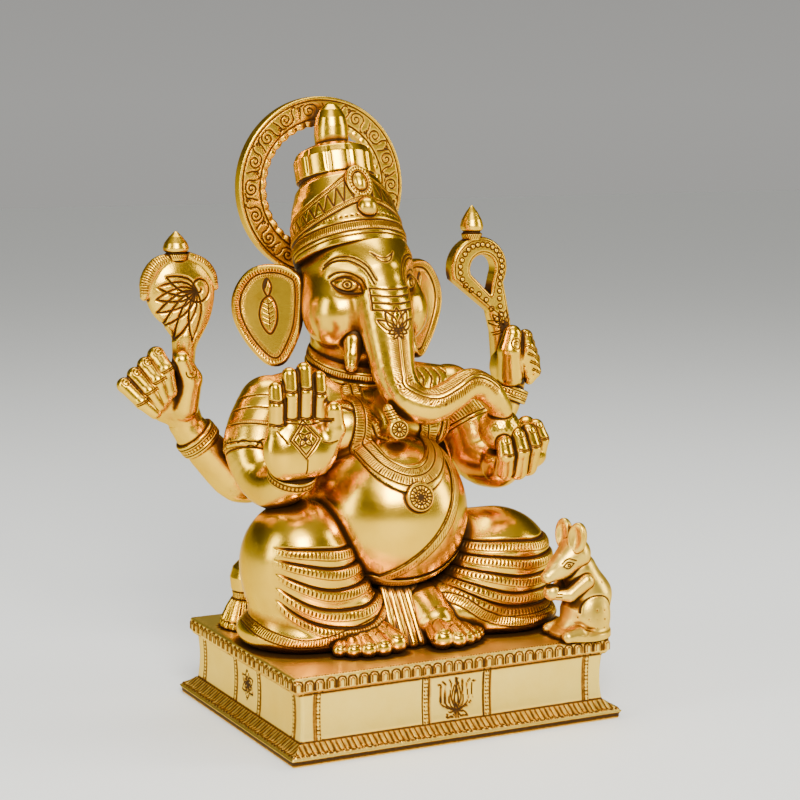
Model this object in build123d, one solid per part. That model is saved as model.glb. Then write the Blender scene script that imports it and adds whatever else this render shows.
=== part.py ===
from build123d import *
import math
import os

# A seated elephant-headed deity in cast brass, with four arms, on a hollow rectangular plinth with a mouse
# at its corner and a ring halo behind its crown. Every casting is its own solid. They butt together face to
# face, where the real ones are brazed. The figure, the mouse and the halo are held by studs, nuts and screws.
# Millimetres. The origin is the middle of the plinth's underside, +Z is up and the figure faces -Y.
# "Right" and "left" are the figure's own: its right side is at -X.

# ---------------------------------------------------------------- driving dimensions
PLINTH_WIDTH, PLINTH_DEPTH, PLINTH_HEIGHT = 219.0, 176.0, 50.0
SKIRTING_RISE, SLOPE_TOP = 7.0, 11.5
DADO_WIDTH, DADO_DEPTH = 203.0, 161.0
CORNICE_WIDTH, CORNICE_DEPTH, CORNICE_BOTTOM = 211.6, 164.4, 41.0
PLINTH_WALL, PLINTH_TOP = 5.0, 6.0
CORNICE_ROUND = 1.2

MIDDLE_X = -10.0                      # the figure sits a little to the right of the plinth's middle
SEAT_Z = PLINTH_HEIGHT
BELLY_CENTRE, BELLY_RADIUS = (MIDDLE_X, -8.0, 128.0), 50.0
CAST_WALL = 5.0                       # wall of the hollow castings
TORSO_FLOOR = 8.0
CORE_HOLE_RADIUS = 20.0               # where the sand core came out of the torso and of the head's neck
HEAD_CENTRE, HEAD_RADIUS = (-11.0, 37.0, 257.0), 38.0
CROWN_LEAN = 25.0                     # the crown leans back by this angle
CROWN_X = -12.0
CROWN_FOOT = (CROWN_X, 36.0, 278.0)
DRUM_FOOT, DRUM_TOP = 49.0, 70.0      # heights along the crown's axis
HALO_CENTRE_Y, HALO_CENTRE_Z = 84.0, 320.5
HALO_OUTER, HALO_INNER, HALO_THICK = 57.0, 38.5, 8.5
HALO_FRONT = HALO_CENTRE_Y - HALO_THICK / 2
HALO_BACK = HALO_CENTRE_Y + HALO_THICK / 2

RIGHT_SHOULDER, RIGHT_ELBOW = (-74, 28, 186, 20), (-83, 8, 150, 17)
REAR_SHOULDER, REAR_ELBOW, REAR_WRIST = (-56, 54, 172, 15), (-80, 53, 141, 14), (-114, 54, 175, 10)
FINGER_RADIUS, FINGER_ROOT_Z = 4.7, 190.0         # the straight fingers of the raised hand
EMBLEM_Y, EMBLEM_THICK = 57.0, 12.0

STUD_RADIUS, STUD_HOLE_RADIUS = 3.0, 3.2
STUD_PLACES = [(-44.0, 28.0), (24.0, 28.0)]
MOUSE_X, MOUSE_Y = 90.0, -68.0
MOUSE_STUD_PLACE = (MOUSE_X, MOUSE_Y)
MOUSE_STUD_RADIUS, MOUSE_STUD_HOLE_RADIUS = 2.5, 2.7
STUD_ABOVE, STUD_BELOW = 7.0, 13.0    # how far a stud reaches above and below the plinth's top plate
NUT_HEIGHT, WASHER_THICK = 5.0, 1.6
NUT_SIZE, WASHER_SIZE = 2.0, 2.1      # their outer radii, as multiples of the stud's radius
WASHER_PLAY = 0.1
HALO_SCREW_RADIUS, HALO_SCREW_HOLE_RADIUS = 2.0, 2.1
HALO_SCREW_DROP, HALO_SCREW_SPREAD = 45.0, 11.0   # two screws, below and either side of the halo's centre
HALO_SCREW_DEPTH, HALO_SCREW_HEAD = 10.0, 2.5

BETWEEN_BALLS = 0.92                  # the cones of a limb are this much slimmer than its joint balls
PALM_ROUND = 0.42                     # corner rounding of a palm, as a share of its thickness
FOOT_SIZE, FOOT_ROUND = (38.0, 32.0, 20.0), 8.0
TOE_REACH, TOE_GAP = 0.6, 0.4         # a toe's middle stands this share of its radius past the foot
BALL_TURN = Rot(25, 40, 0)            # turns a ball's poles and seam away from where its neighbours meet it
FROM_FOOT = (Align.CENTER, Align.CENTER, Align.MIN)
MORE_THAN_ALL = 500.0                 # larger than the whole object

nodes = {}


# ---------------------------------------------------------------- shapes used throughout
def ball(centre, radii, tilt=(0, 0, 0)):
    """An ellipsoid, or a sphere where radii is one number, turned by tilt degrees about X, Y and Z."""
    if isinstance(radii, (int, float)):
        return Pos(*centre) * Sphere(radii)
    return Pos(*centre) * Rot(*tilt) * scale(Sphere(1.0), by=radii)


def limb(*stations):
    """A chain of balls joined by slightly slimmer cones. Each station is x, y, z and radius."""
    pieces = [Pos(x, y, z) * Sphere(r) for x, y, z, r in stations]
    for (*start, r_start), (*end, r_end) in zip(stations, stations[1:]):
        along = Vector(*end) - Vector(*start)
        place = Plane(origin=start, z_dir=along)
        r_start, r_end = BETWEEN_BALLS * r_start, BETWEEN_BALLS * r_end
        if abs(r_start - r_end) < 0.01:
            pieces.append(place * Cylinder(r_start, along.length, align=FROM_FOOT))
        else:
            pieces.append(place * Cone(r_start, r_end, along.length, align=FROM_FOOT))
    return pieces[0].fuse(*pieces[1:])


def tube(*stations):
    """A smooth solid through round sections square to its line. Each station is x, y, z and radius."""
    centres = [Vector(*place) for *place, radius in stations]
    path = Spline(*centres)
    sections = [Plane(origin=centre, z_dir=path.tangent_at(centre)) * Circle(radius)
                for centre, (*place, radius) in zip(centres, stations)]
    return loft(sections)


def post(place, radius, front_y, back_y):
    """A round bar along Y between two depths, at a place given as x and z."""
    x, z = place
    return Pos(x, (front_y + back_y) / 2, z) * Rot(90, 0, 0) * Cylinder(radius, back_y - front_y)


def space_in_front_of(y):
    """A block that holds everything in front of a depth."""
    return Pos(0, y - MORE_THAN_ALL / 2, 0) * Box(2 * MORE_THAN_ALL, MORE_THAN_ALL, 2 * MORE_THAN_ALL)


def turned(outline, origin, lean=0.0):
    """A turned piece about a Z axis leaning back. The outline is radius and height from foot to tip."""
    start, end = outline[0], outline[-1]
    line = Polyline((0, start[1]), *outline, *([] if end[0] == 0 else [(0, end[1])]), close=True)
    face = make_face(Plane.XZ * line)
    return Pos(*origin) * Rot(-lean, 0, 0) * revolve(face, Axis.Z)


def biggest(shape):
    """The largest solid of a shape, without the chips that a cut leaves."""
    return max(shape.solids(), key=lambda s: s.volume)


def carve(shape, *neighbours):
    """The shape with its neighbours' space taken away, so that the two meet face to face."""
    for other in neighbours:
        shape = shape - other
    return biggest(shape)


def mirrored(point):
    """A point on the other side of the figure's middle."""
    x, *rest = point
    return (2 * MIDDLE_X - x, *rest)


def keep(name, shape):
    nodes[name] = shape
    return shape


# ---------------------------------------------------------------- plinth
def make_plinth():
    skirting = Box(PLINTH_WIDTH, PLINTH_DEPTH, SKIRTING_RISE, align=FROM_FOOT)
    slope = loft([
        Pos(0, 0, SKIRTING_RISE) * Rectangle(PLINTH_WIDTH - 3, PLINTH_DEPTH - 3),
        Pos(0, 0, SLOPE_TOP) * Rectangle(DADO_WIDTH + 2, DADO_DEPTH + 2),
    ])
    dado = Box(DADO_WIDTH, DADO_DEPTH, CORNICE_BOTTOM, align=FROM_FOOT)
    cornice = Box(CORNICE_WIDTH, CORNICE_DEPTH, PLINTH_HEIGHT - CORNICE_BOTTOM, align=FROM_FOOT)
    cornice = Pos(0, 0, CORNICE_BOTTOM) * cornice
    cornice = fillet(cornice.edges().filter_by(Axis.Z), CORNICE_ROUND * 2)
    cornice = fillet(cornice.faces().sort_by(Axis.Z)[-1].edges(), CORNICE_ROUND)
    block = skirting + slope + dado + cornice
    inner_width, inner_depth = DADO_WIDTH - 2 * PLINTH_WALL, DADO_DEPTH - 2 * PLINTH_WALL
    block = block - Box(inner_width, inner_depth, PLINTH_HEIGHT - PLINTH_TOP, align=FROM_FOOT)
    for x, y in STUD_PLACES:
        block = block - Pos(x, y, PLINTH_HEIGHT) * Cylinder(STUD_HOLE_RADIUS, 4 * PLINTH_TOP)
    x, y = MOUSE_STUD_PLACE
    return block - Pos(x, y, PLINTH_HEIGHT) * Cylinder(MOUSE_STUD_HOLE_RADIUS, 4 * PLINTH_TOP)


def make_stud_set(places, radius):
    """Studs, their washers and their hexagon nuts, under the plinth's top plate at each place."""
    plate_underside = PLINTH_HEIGHT - PLINTH_TOP
    bottom = plate_underside - (STUD_BELOW - PLINTH_TOP)
    length = PLINTH_HEIGHT + STUD_ABOVE - bottom
    washer = Cylinder(WASHER_SIZE * radius, WASHER_THICK, align=FROM_FOOT)
    washer = washer - Cylinder(radius + WASHER_PLAY, WASHER_THICK, align=FROM_FOOT)
    hexagon = extrude(RegularPolygon(NUT_SIZE * radius, 6), NUT_HEIGHT)
    hexagon = hexagon - Cylinder(radius, NUT_HEIGHT, align=FROM_FOOT)
    studs, washers, nuts = [], [], []
    for x, y in places:
        studs.append(Pos(x, y, bottom) * Cylinder(radius, length, align=FROM_FOOT))
        washers.append(Pos(x, y, plate_underside - WASHER_THICK) * washer)
        nuts.append(Pos(x, y, plate_underside - WASHER_THICK - NUT_HEIGHT) * hexagon)
    return studs, washers, nuts


def stud_socket(places, radius):
    """The blind holes that the studs screw into, in the casting above."""
    return [Pos(x, y, SEAT_Z) * Cylinder(radius, 2 * STUD_ABOVE) for x, y in places]


# ---------------------------------------------------------------- torso and legs
def make_torso():
    """Belly, chest, shoulders and seat in one casting."""
    belly = ball(BELLY_CENTRE, BELLY_RADIUS)
    chest = ball((MIDDLE_X, 26, 168), 46)
    seat = turned([(54, 0), (57, 20), (50, 52), (40, 66)], (MIDDLE_X, 24, SEAT_Z))
    shoulder = Cone(21, 16, 52, align=FROM_FOOT)
    shoulders = [Plane(origin=(MIDDLE_X, 33, 198), z_dir=(side * 51, -2, -6)) * shoulder for side in (-1, 1)]
    return belly.fuse(chest, seat, *shoulders)


def make_torso_core():
    """The sand core of the torso, and the hole in its floor that the sand came out of."""
    belly = ball(BELLY_CENTRE, BELLY_RADIUS - CAST_WALL)
    chest = ball((MIDDLE_X, 26, 168), 46 - CAST_WALL)
    seat = turned([(54 - CAST_WALL, 0), (56 - CAST_WALL, 12), (42, 48)], (MIDDLE_X, 24, SEAT_Z + TORSO_FLOOR))
    core_hole = Pos(MIDDLE_X, 24, SEAT_Z) * Cylinder(CORE_HOLE_RADIUS, 4 * TORSO_FLOOR)
    return belly.fuse(chest, seat, core_hole)


def make_leg(hip, knee, hem_place, hem_outline):
    """A leg folded under its cloth, whose hem spreads flat on the plinth."""
    return limb(hip, knee).fuse(turned(hem_outline, hem_place))


def make_foot(middle, turn, toe_radii):
    """A rounded foot that stands flat on the plinth, with a row of toes at its front."""
    foot = Box(*FOOT_SIZE, align=FROM_FOOT)
    top_edges = foot.faces().sort_by(Axis.Z)[-1].edges()
    foot = fillet(foot.edges().filter_by(Axis.Z) + top_edges, FOOT_ROUND)
    width, length, height = FOOT_SIZE
    x = -width / 2 - TOE_GAP
    toes = []
    for radius in toe_radii:
        x += radius + TOE_GAP
        toes.append(Pos(x, -length / 2 - TOE_REACH * radius, radius + TOE_GAP) * BALL_TURN * Sphere(radius))
        x += radius
    return Pos(*middle, SEAT_Z) * Rot(0, 0, turn) * foot.fuse(*toes)


# ---------------------------------------------------------------- hands
def make_hand(palm_centre, palm_size, palm_tilt, fingers):
    """A rounded palm with its fingers and thumb."""
    palm = Box(*palm_size)
    palm = fillet(palm.edges(), PALM_ROUND * min(palm_size))
    palm = Pos(*palm_centre) * Rot(*palm_tilt) * palm
    return palm.fuse(*fingers)


# ---------------------------------------------------------------- build
plinth = keep("plinth_casting", make_plinth())
studs, washers, nuts = make_stud_set(STUD_PLACES, STUD_RADIUS)
mouse_studs, mouse_washers, mouse_nuts = make_stud_set([MOUSE_STUD_PLACE], MOUSE_STUD_RADIUS)
keep("figure_studs", Compound(studs))
keep("figure_washers", Compound(washers))
keep("figure_nuts", Compound(nuts))
keep("mouse_stud", mouse_studs[0])
keep("mouse_washer", mouse_washers[0])
keep("mouse_nut", mouse_nuts[0])

torso = make_torso()
keep("torso_casting", carve(torso, make_torso_core(), *stud_socket(STUD_PLACES, STUD_RADIUS)))

right_leg = keep("right_leg", carve(
    make_leg((-44, 22, 86, 34), (-70, -14, 105, 32), (-60, 3, SEAT_Z), [(43, 0), (42, 14), (34, 36)]), torso))
left_leg = keep("left_leg", carve(
    make_leg((26, 22, 84, 32), (64, -12, 90, 31), (49, -12, SEAT_Z), [(46, 0), (45, 14), (30, 34)]), torso))

right_foot = keep("right_foot", carve(
    make_foot((-44, -32), -14, (2.9, 3.2, 3.5, 3.8, 5.2)), right_leg, torso))
left_foot = keep("left_foot", carve(
    make_foot((10, -36), 20, (5.2, 3.8, 3.5, 3.2, 2.9)), left_leg, right_foot, torso))
pleats = Pos(-17, -26, SEAT_Z) * Box(16, 26, 31, align=FROM_FOOT)
pleats = keep("dhoti_pleats", carve(pleats, torso, right_leg, left_leg, right_foot, left_foot))


def make_cloth_end(x, y):
    """The gathered end of the waist cloth, flaring down to the plinth."""
    return turned([(17, 0), (16, 9), (9, 15), (11, 24), (8, 43)], (x, y, SEAT_Z))


right_cloth = keep("right_cloth_end", carve(make_cloth_end(-77, 43), right_leg, torso))
left_cloth = keep("left_cloth_end", carve(make_cloth_end(60, 44), left_leg, torso))

# ---------------------------------------------------------------- arms
front_right_arm = keep("front_right_arm", carve(
    limb(RIGHT_SHOULDER, RIGHT_ELBOW, (-80, -20, 148, 12)), torso, right_leg))
front_left_arm = keep("front_left_arm", carve(
    limb(mirrored(RIGHT_SHOULDER), mirrored(RIGHT_ELBOW), (61, -17, 149, 12.5)), torso, left_leg))

rear_right_arm = keep("rear_right_arm", carve(
    limb(REAR_SHOULDER, REAR_ELBOW, REAR_WRIST), torso, front_right_arm, right_leg))
rear_left_arm = keep("rear_left_arm", carve(
    limb(mirrored(REAR_SHOULDER), (60, 52, 143, 14), (104, 54.5, 170, 11), (112, 55, 188, 10)),
    torso, front_left_arm, left_leg))


def bangle(place, direction, bore, width, thick):
    """A plain round ring about a wrist, whose bore is smaller than the wrist and is cut to suit it."""
    return Plane(origin=place, z_dir=direction) * (Cylinder(bore + thick, width) - Cylinder(bore, width))


right_bangle = keep("rear_right_bangle", carve(
    bangle((-106, 54.5, 167), (-0.69, 0, 0.72), 8, 6, 6), rear_right_arm))
left_bangle = keep("rear_left_bangle", carve(
    bangle((110.5, 54.5, 184), (0.36, 0, 0.93), 8, 6, 6), rear_left_arm))
front_bangle = keep("front_right_bangle", carve(
    bangle((-80, -14, 148.5), (0.1, -1, 0), 9, 6, 7), front_right_arm, right_leg))
right_armlet = keep("right_armlet", carve(
    bangle((-80, 18, 167), (0.2, 0.5, 0.84), 15, 15, 6), front_right_arm, rear_right_arm, torso))


# ---------------------------------------------------------------- front hands
def make_raised_finger(x, tip_z):
    """A straight finger with a domed tip, rooted inside the palm."""
    finger = Cylinder(FINGER_RADIUS, tip_z - FINGER_ROOT_Z, align=FROM_FOOT)
    finger = fillet(finger.edges().sort_by(Axis.Z)[-1], 0.85 * FINGER_RADIUS)
    return Pos(x, -31, FINGER_ROOT_Z) * finger


raised_fingers = [make_raised_finger(x, tip_z)
                  for x, tip_z in ((-67, 219), (-76.6, 224), (-86.2, 222), (-95.6, 213))]
raised_thumb = limb((-62, -32, 172, 7.5), (-57, -35, 184, 6.5), (-60, -38, 197, 5))
front_right_hand = keep("front_right_hand", carve(
    make_hand((-80, -30, 178), (42, 18, 44), (0, 0, 0), [*raised_fingers, raised_thumb]),
    front_right_arm, front_bangle, right_leg))

sweet = keep("laddoo_sweet", ball((58, -27, 173), 12.5))
CUPPED_FINGERS = [
    ((57, -32, 151), (54.5, -41.5, 162), (53.5, -40.5, 171)),
    ((67, -31, 151), (65, -41, 163), (63.5, -39, 173.5)),
    ((78, -28, 151), (77, -36, 165), (75, -34, 175)),
    ((86, -21, 155), (88, -28.5, 168), (86, -26, 177)),
]
cupped_fingers = [limb((*root, 5.4), (*middle, 5.1), (*tip, 4.6)) for root, middle, tip in CUPPED_FINGERS]
cupping_thumb = limb((88, -6, 158, 6.5), (88, -8, 170, 5.8))
front_left_hand = keep("front_left_hand", carve(
    make_hand((72, -17, 153), (38, 30, 20), (0, 0, 0), [*cupped_fingers, cupping_thumb]),
    sweet, front_left_arm, left_leg))


def make_gripping_hand(side, centre, reach):
    """A rear hand closed round the foot of its emblem. side is -1 for the figure's right."""
    x, y, z = centre
    fingers = []
    for i in range(4):
        out, up = reach + 2.5 * i, 8 - 6.5 * i
        fingers.append(limb(
            (x + side * (out - 8), y - 8, z + up, 5.4),
            (x + side * out, y - 15, z + up + 3, 5.0),
            (x + side * (out - 9), y - 19, z + up - 2, 4.4)))
    thumb = limb((x - side * 7, y - 6, z + 4, 7), (x - side * 2, y - 12, z + 17, 5.5),
                 (x + side * 4, y - 12, z + 23, 4.6))
    return make_hand(centre, (28, 20, 38), (0, side * 20, 0), [*fingers, thumb])


rear_right_hand = keep("rear_right_hand", carve(
    make_gripping_hand(-1, (-128, 55, 199), 15), rear_right_arm, right_bangle))
rear_left_hand = keep("rear_left_hand", carve(
    make_gripping_hand(1, (114, 55, 204), 9), rear_left_arm, left_bangle))


# ---------------------------------------------------------------- emblems
def make_finial(place, radius, height):
    """A small turned bud on a collar."""
    outline = [(0.75 * radius, 0), (0.8 * radius, 0.14 * height), (0.62 * radius, 0.2 * height),
               (radius, 0.34 * height), (0.93 * radius, 0.55 * height), (0.5 * radius, 0.82 * height),
               (0, height)]
    return turned(outline, place)


def upright_plate(flat, middle_y, thick):
    """A flat outline drawn in X and Z, made into a plate across Y."""
    return Pos(0, middle_y + thick / 2, 0) * extrude(Plane.XZ * flat, thick)


def make_goad():
    """The goad's broad head, with a wing at either side, on its short shank."""
    outline = Polyline((-105, 206), (-105, 232), (-98, 244), (-97, 262), (-104, 274), (-116, 281),
                       (-126, 281), (-136, 276), (-141, 264), (-136, 246), (-123, 234), (-121, 206), close=True)
    return upright_plate(make_face(outline), EMBLEM_Y, EMBLEM_THICK)


def make_noose():
    """A teardrop loop on a short shank, leaning towards the crown, with the eye open right through."""
    outer = make_hull([Pos(88.5, 266.5) * Circle(21.5).edge(), Pos(105, 222) * Circle(8).edge()])
    eye = make_hull([Pos(90, 265.5) * Circle(9).edge(), Pos(96, 249.5) * Circle(1.5).edge()])
    return upright_plate(outer - eye, EMBLEM_Y, EMBLEM_THICK)


goad = keep("goad_emblem", carve(make_goad(), rear_right_hand))
keep("goad_finial", carve(make_finial((-121, EMBLEM_Y, 281), 8, 16), goad))
noose = keep("noose_emblem", carve(make_noose(), rear_left_hand))
keep("noose_finial", carve(make_finial((84.5, EMBLEM_Y, 286.5), 8, 21), noose))

# ---------------------------------------------------------------- head
HALO_BOSSES = [(CROWN_X + side * HALO_SCREW_SPREAD, HALO_CENTRE_Z - HALO_SCREW_DROP) for side in (-1, 1)]
cheeks = [limb((MIDDLE_X + side * 15, 16, 246, 16), (MIDDLE_X + side * 20, 12, 234, 10)) for side in (-1, 1)]
neck = Pos(MIDDLE_X, 35, 190) * Cylinder(26, 50, align=FROM_FOOT)
head_outside = ball(HEAD_CENTRE, HEAD_RADIUS).fuse(
    neck, *cheeks, *[post(place, 5, HALO_FRONT - 22, HALO_FRONT) for place in HALO_BOSSES])
head = biggest(head_outside - torso)
neck_bore = Pos(MIDDLE_X, 35, 150) * Cylinder(17, 80, align=FROM_FOOT)
head_core = ball(HEAD_CENTRE, HEAD_RADIUS - CAST_WALL - 2).fuse(neck_bore)
screw_holes = [post(place, HALO_SCREW_RADIUS, HALO_FRONT - HALO_SCREW_DEPTH, HALO_FRONT + 1)
               for place in HALO_BOSSES]
keep("head_casting", carve(head, head_core, *screw_holes))

TRUNK_LINE = [(-11, 10, 268, 16), (-11, -2, 250, 16), (-11, -12, 226, 14.5), (-7, -25, 203, 12.5),
              (8, -34, 195, 11), (27, -36, 200, 9.5), (44, -34, 204, 8.2), (54, -31, 199, 7),
              (56, -30, 189, 6)]
trunk = keep("trunk", carve(tube(*TRUNK_LINE), head, torso, sweet, front_left_hand))


def make_ear(side):
    """A broad ear swept back from the head, with a rounded rim."""
    disc = Cylinder(31, 13)
    disc = fillet(disc.edges(), 4)
    return Pos(MIDDLE_X + side * 45, 51, 245) * Rot(0, 0, side * 24) * Rot(90, 0, 0) * disc


right_ear = keep("right_ear", carve(make_ear(-1), head, torso, rear_right_arm, front_right_arm))
left_ear = keep("left_ear", carve(make_ear(1), head, torso, rear_left_arm, front_left_arm))
keep("right_tusk", carve(
    limb((-28, 6, 238, 6.5), (-33, -2, 224, 5.8), (-36, -7, 213, 3.6)), head, trunk, torso))
keep("left_tusk", carve(limb((6, 6, 238, 6.5), (11, -2, 225, 5.0)), head, trunk, torso))

# ---------------------------------------------------------------- crown and halo
def on_crown(height):
    """The place on the crown's leaning axis at a height above its foot."""
    x, y, z = CROWN_FOOT
    lean = math.radians(CROWN_LEAN)
    return (x, y + height * math.sin(lean), z + height * math.cos(lean))


crown_outline = [(35.5, 0), (36, 8), (34.5, 20), (31, 34), (27, 44), (21, DRUM_FOOT)]
crown_whole = turned(crown_outline, CROWN_FOOT, CROWN_LEAN) & space_in_front_of(HALO_FRONT)
crown = keep("crown_casting", carve(crown_whole, head, right_ear, left_ear))
drum_outline = [(21.5, 0), (24, 3), (24, 15), (18, 19), (12, DRUM_TOP - DRUM_FOOT)]
drum = keep("crown_drum", turned(drum_outline, on_crown(DRUM_FOOT), CROWN_LEAN))
finial_outline = [(10.5, 0), (11, 18), (10, 25), (6, 31), (0, 36)]
keep("crown_finial", carve(turned(finial_outline, (CROWN_X, 65, 337.5)), drum))
jewel = keep("crown_jewel", carve(limb((CROWN_X, 20, 319, 8), (CROWN_X, 25, 330, 8)), crown, drum))
keep("crown_boss", carve(ball((CROWN_X, 10, 310), 6.5), crown, jewel))

HALO_MIDDLE = (CROWN_X, HALO_CENTRE_Z)
halo = post(HALO_MIDDLE, HALO_OUTER, HALO_FRONT, HALO_BACK)
halo = halo - post(HALO_MIDDLE, HALO_INNER, HALO_FRONT - 1, HALO_BACK + 1)
keep("halo_ring", carve(halo, *[
    post(place, HALO_SCREW_HOLE_RADIUS, HALO_FRONT - 1, HALO_BACK + 1) for place in HALO_BOSSES]))
keep("halo_screws", Compound([
    (post(place, HALO_SCREW_RADIUS, HALO_FRONT - HALO_SCREW_DEPTH, HALO_BACK + 1)
     + post(place, 2 * HALO_SCREW_RADIUS, HALO_BACK, HALO_BACK + HALO_SCREW_HEAD)).solid()
    for place in HALO_BOSSES]))

# ---------------------------------------------------------------- ornaments on the body
collar = bangle((MIDDLE_X, 33, 215), (0, -0.25, 0.97), 20, 9, 11)
keep("neck_collar", carve(collar, head, torso, trunk, right_ear, left_ear))


def around_belly(direction, offset, thick):
    """A cord lying on the belly: a ring about a direction, moved along it from the belly's centre."""
    origin = Vector(*BELLY_CENTRE) + Vector(*direction).normalized() * offset
    ring = math.sqrt(BELLY_RADIUS ** 2 - offset ** 2) + 0.4
    return Plane(origin=origin, z_dir=direction) * Torus(ring, thick)


garland = keep("garland", carve(
    around_belly((0.05, -0.55, 0.83), 33, 5) & space_in_front_of(14), torso, trunk))
medallion = keep("garland_medallion", carve(post((-11, 146), 8.5, -61, -50), torso, garland))
keep("throat_pendant", carve(ball((-15, -33, 182), 7.5), torso, garland, trunk))
sacred_thread = keep("sacred_thread", carve(
    around_belly((-0.62, -0.12, 0.78), -12, 3) & space_in_front_of(-2),
    torso, garland, right_leg, left_leg, medallion))
keep("waist_belt", carve(
    around_belly((0.0, 0.28, -0.96), 33, 3.5) & space_in_front_of(-2),
    torso, right_leg, left_leg, sacred_thread, pleats))

# ---------------------------------------------------------------- mouse
mouse_whole = limb((MOUSE_X + 3, MOUSE_Y, 68, 17), (MOUSE_X, MOUSE_Y, 84, 13)).fuse(
    turned([(18, 0), (18, 8), (12, 18)], (MOUSE_X + 2, MOUSE_Y, SEAT_Z)))
mouse = keep("mouse_body", carve(mouse_whole, left_leg, *stud_socket([MOUSE_STUD_PLACE], MOUSE_STUD_RADIUS)))
mouse_head = keep("mouse_head", carve(
    limb((MOUSE_X - 8, MOUSE_Y - 2, 99, 11.5), (MOUSE_X - 21, MOUSE_Y - 4, 90, 4.5)), mouse_whole))
for name, side in (("mouse_right_ear", -1), ("mouse_left_ear", 1)):
    ear = Pos(MOUSE_X - 5, MOUSE_Y - 2 + side * 8, 110) * Rot(0, 70, side * 20) * Cylinder(8, 4)
    keep(name, carve(ear, mouse_head, mouse_whole))
paws = Box(14, 11, 8)
paws = Pos(MOUSE_X - 14, MOUSE_Y - 3, 77) * fillet(paws.edges().filter_by(Axis.Z), 3)
mouse_paws = keep("mouse_paws", carve(paws, mouse_whole, mouse_head))
sweet_ball = turned([(2.5, 0), (5, 2.5), (5, 6.5), (2.5, 9)], (MOUSE_X - 22, MOUSE_Y - 4, 74.5))
keep("mouse_sweet", carve(sweet_ball, mouse_paws, mouse_head, mouse_whole))

# ---------------------------------------------------------------- write
os.makedirs("parts", exist_ok=True)
for name, shape in nodes.items():
    export_step(shape, f"parts/{name}.step")
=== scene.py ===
import math

import bpy
import numpy as np
from mathutils import Matrix, Vector


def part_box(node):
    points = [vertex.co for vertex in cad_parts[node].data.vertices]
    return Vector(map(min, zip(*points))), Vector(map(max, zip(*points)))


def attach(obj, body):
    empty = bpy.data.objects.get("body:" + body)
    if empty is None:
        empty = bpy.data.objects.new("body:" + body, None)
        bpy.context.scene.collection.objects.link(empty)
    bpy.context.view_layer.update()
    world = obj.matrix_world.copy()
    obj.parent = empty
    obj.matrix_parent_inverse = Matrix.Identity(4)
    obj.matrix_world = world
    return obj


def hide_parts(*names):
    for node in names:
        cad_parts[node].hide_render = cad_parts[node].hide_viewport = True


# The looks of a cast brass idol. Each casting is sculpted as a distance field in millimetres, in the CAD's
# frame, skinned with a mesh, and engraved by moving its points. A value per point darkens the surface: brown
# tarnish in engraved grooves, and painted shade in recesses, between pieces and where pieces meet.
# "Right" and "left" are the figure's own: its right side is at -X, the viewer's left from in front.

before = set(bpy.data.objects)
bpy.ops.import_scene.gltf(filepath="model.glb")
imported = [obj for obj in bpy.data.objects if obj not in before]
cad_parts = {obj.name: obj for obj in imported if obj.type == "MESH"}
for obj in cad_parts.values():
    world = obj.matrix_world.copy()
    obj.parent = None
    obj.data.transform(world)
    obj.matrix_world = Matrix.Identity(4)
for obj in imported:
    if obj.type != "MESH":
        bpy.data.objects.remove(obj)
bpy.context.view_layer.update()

# ---------------------------------------------------------------- settings
MM = 0.001
COARSE = 1.0     # quick tries use coarser skins
BLOCK = 4                               # a skin is first looked for in blocks of this many steps
MARGIN = 6.0                            # how far a sculpted piece may pass its CAD node's box
CREVICE_REACHES = (1.8, 7.0)            # distances at which enclosure is probed, for the painted recess shade
SUNK = 2.5                              # how far a raised layer reaches into what it lies on
FAR = 1e9                               # farther than anything in the object
NEAR_BLOCKS = 1.7                       # blocks this near the surface, in blocks, are worked out in full
BATCH = 400000                          # points worked out at a time
LONGEST_MOVE = 0.6                      # how far a point may settle in one round
CREVICE_START, CREVICE_SPAN = 0.15, 0.45    # enclosure at which the painted recess shade and tarnish start, and over which they deepen
REFINE_HEIGHT, REFINE_DARK = 0.015, 0.03    # marks stronger than these get a finer skin
SEAT_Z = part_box("torso_casting")[0].z / MM
PLINTH_HIGH = np.array(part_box("plinth_casting")[1]) / MM
HALO_LOW, HALO_HIGH = [np.array(corner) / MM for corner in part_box("halo_ring")]


# ---------------------------------------------------------------- distance fields
def unit(vector):
    vector = np.asarray(vector, float)
    return vector / np.linalg.norm(vector)


def axes_for(facing, up=(0, 0, 1)):
    """Rows across, up and facing of a local frame; for facing -Y they are +X, +Z and -Y."""
    facing = unit(facing)
    across = unit(np.cross(up, facing))
    return np.array([across, np.cross(facing, across), facing])


def soft_min(a, b, k):
    if k <= 0:
        return np.minimum(a, b)
    h = np.clip(0.5 + 0.5 * (b - a) / k, 0, 1)
    return b + (a - b) * h - k * h * (1 - h)


def join(k, *shapes):
    """Shapes run together, with fillets about k wide."""
    def field(p):
        total = shapes[0](p)
        for shape in shapes[1:]:
            total = soft_min(total, shape(p), k)
        return total
    return field


def cut(k, shape, *tools):
    """A shape with others taken out of it, with edges rounded by k."""
    def field(p):
        total = shape(p)
        for tool in tools:
            total = -soft_min(-total, tool(p), k)
        return total
    return field


def common(k, shape, other):
    return lambda p: -soft_min(-shape(p), -other(p), k)


def ball(centre, radius):
    centre = np.array(centre, float)
    return lambda p: np.linalg.norm(p - centre, axis=1) - radius


def egg(centre, radii, facing=(0, -1, 0), up=(0, 0, 1)):
    """An ellipsoid with its radii across, up and along its facing."""
    turn, radii, centre = axes_for(facing, up), np.array(radii, float), np.array(centre, float)

    def field(p):
        q = (p - centre) @ turn.T
        near = np.linalg.norm(q / radii, axis=1)
        return near * (near - 1) / np.maximum(np.linalg.norm(q / radii ** 2, axis=1), 1e-6)
    return field


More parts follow.
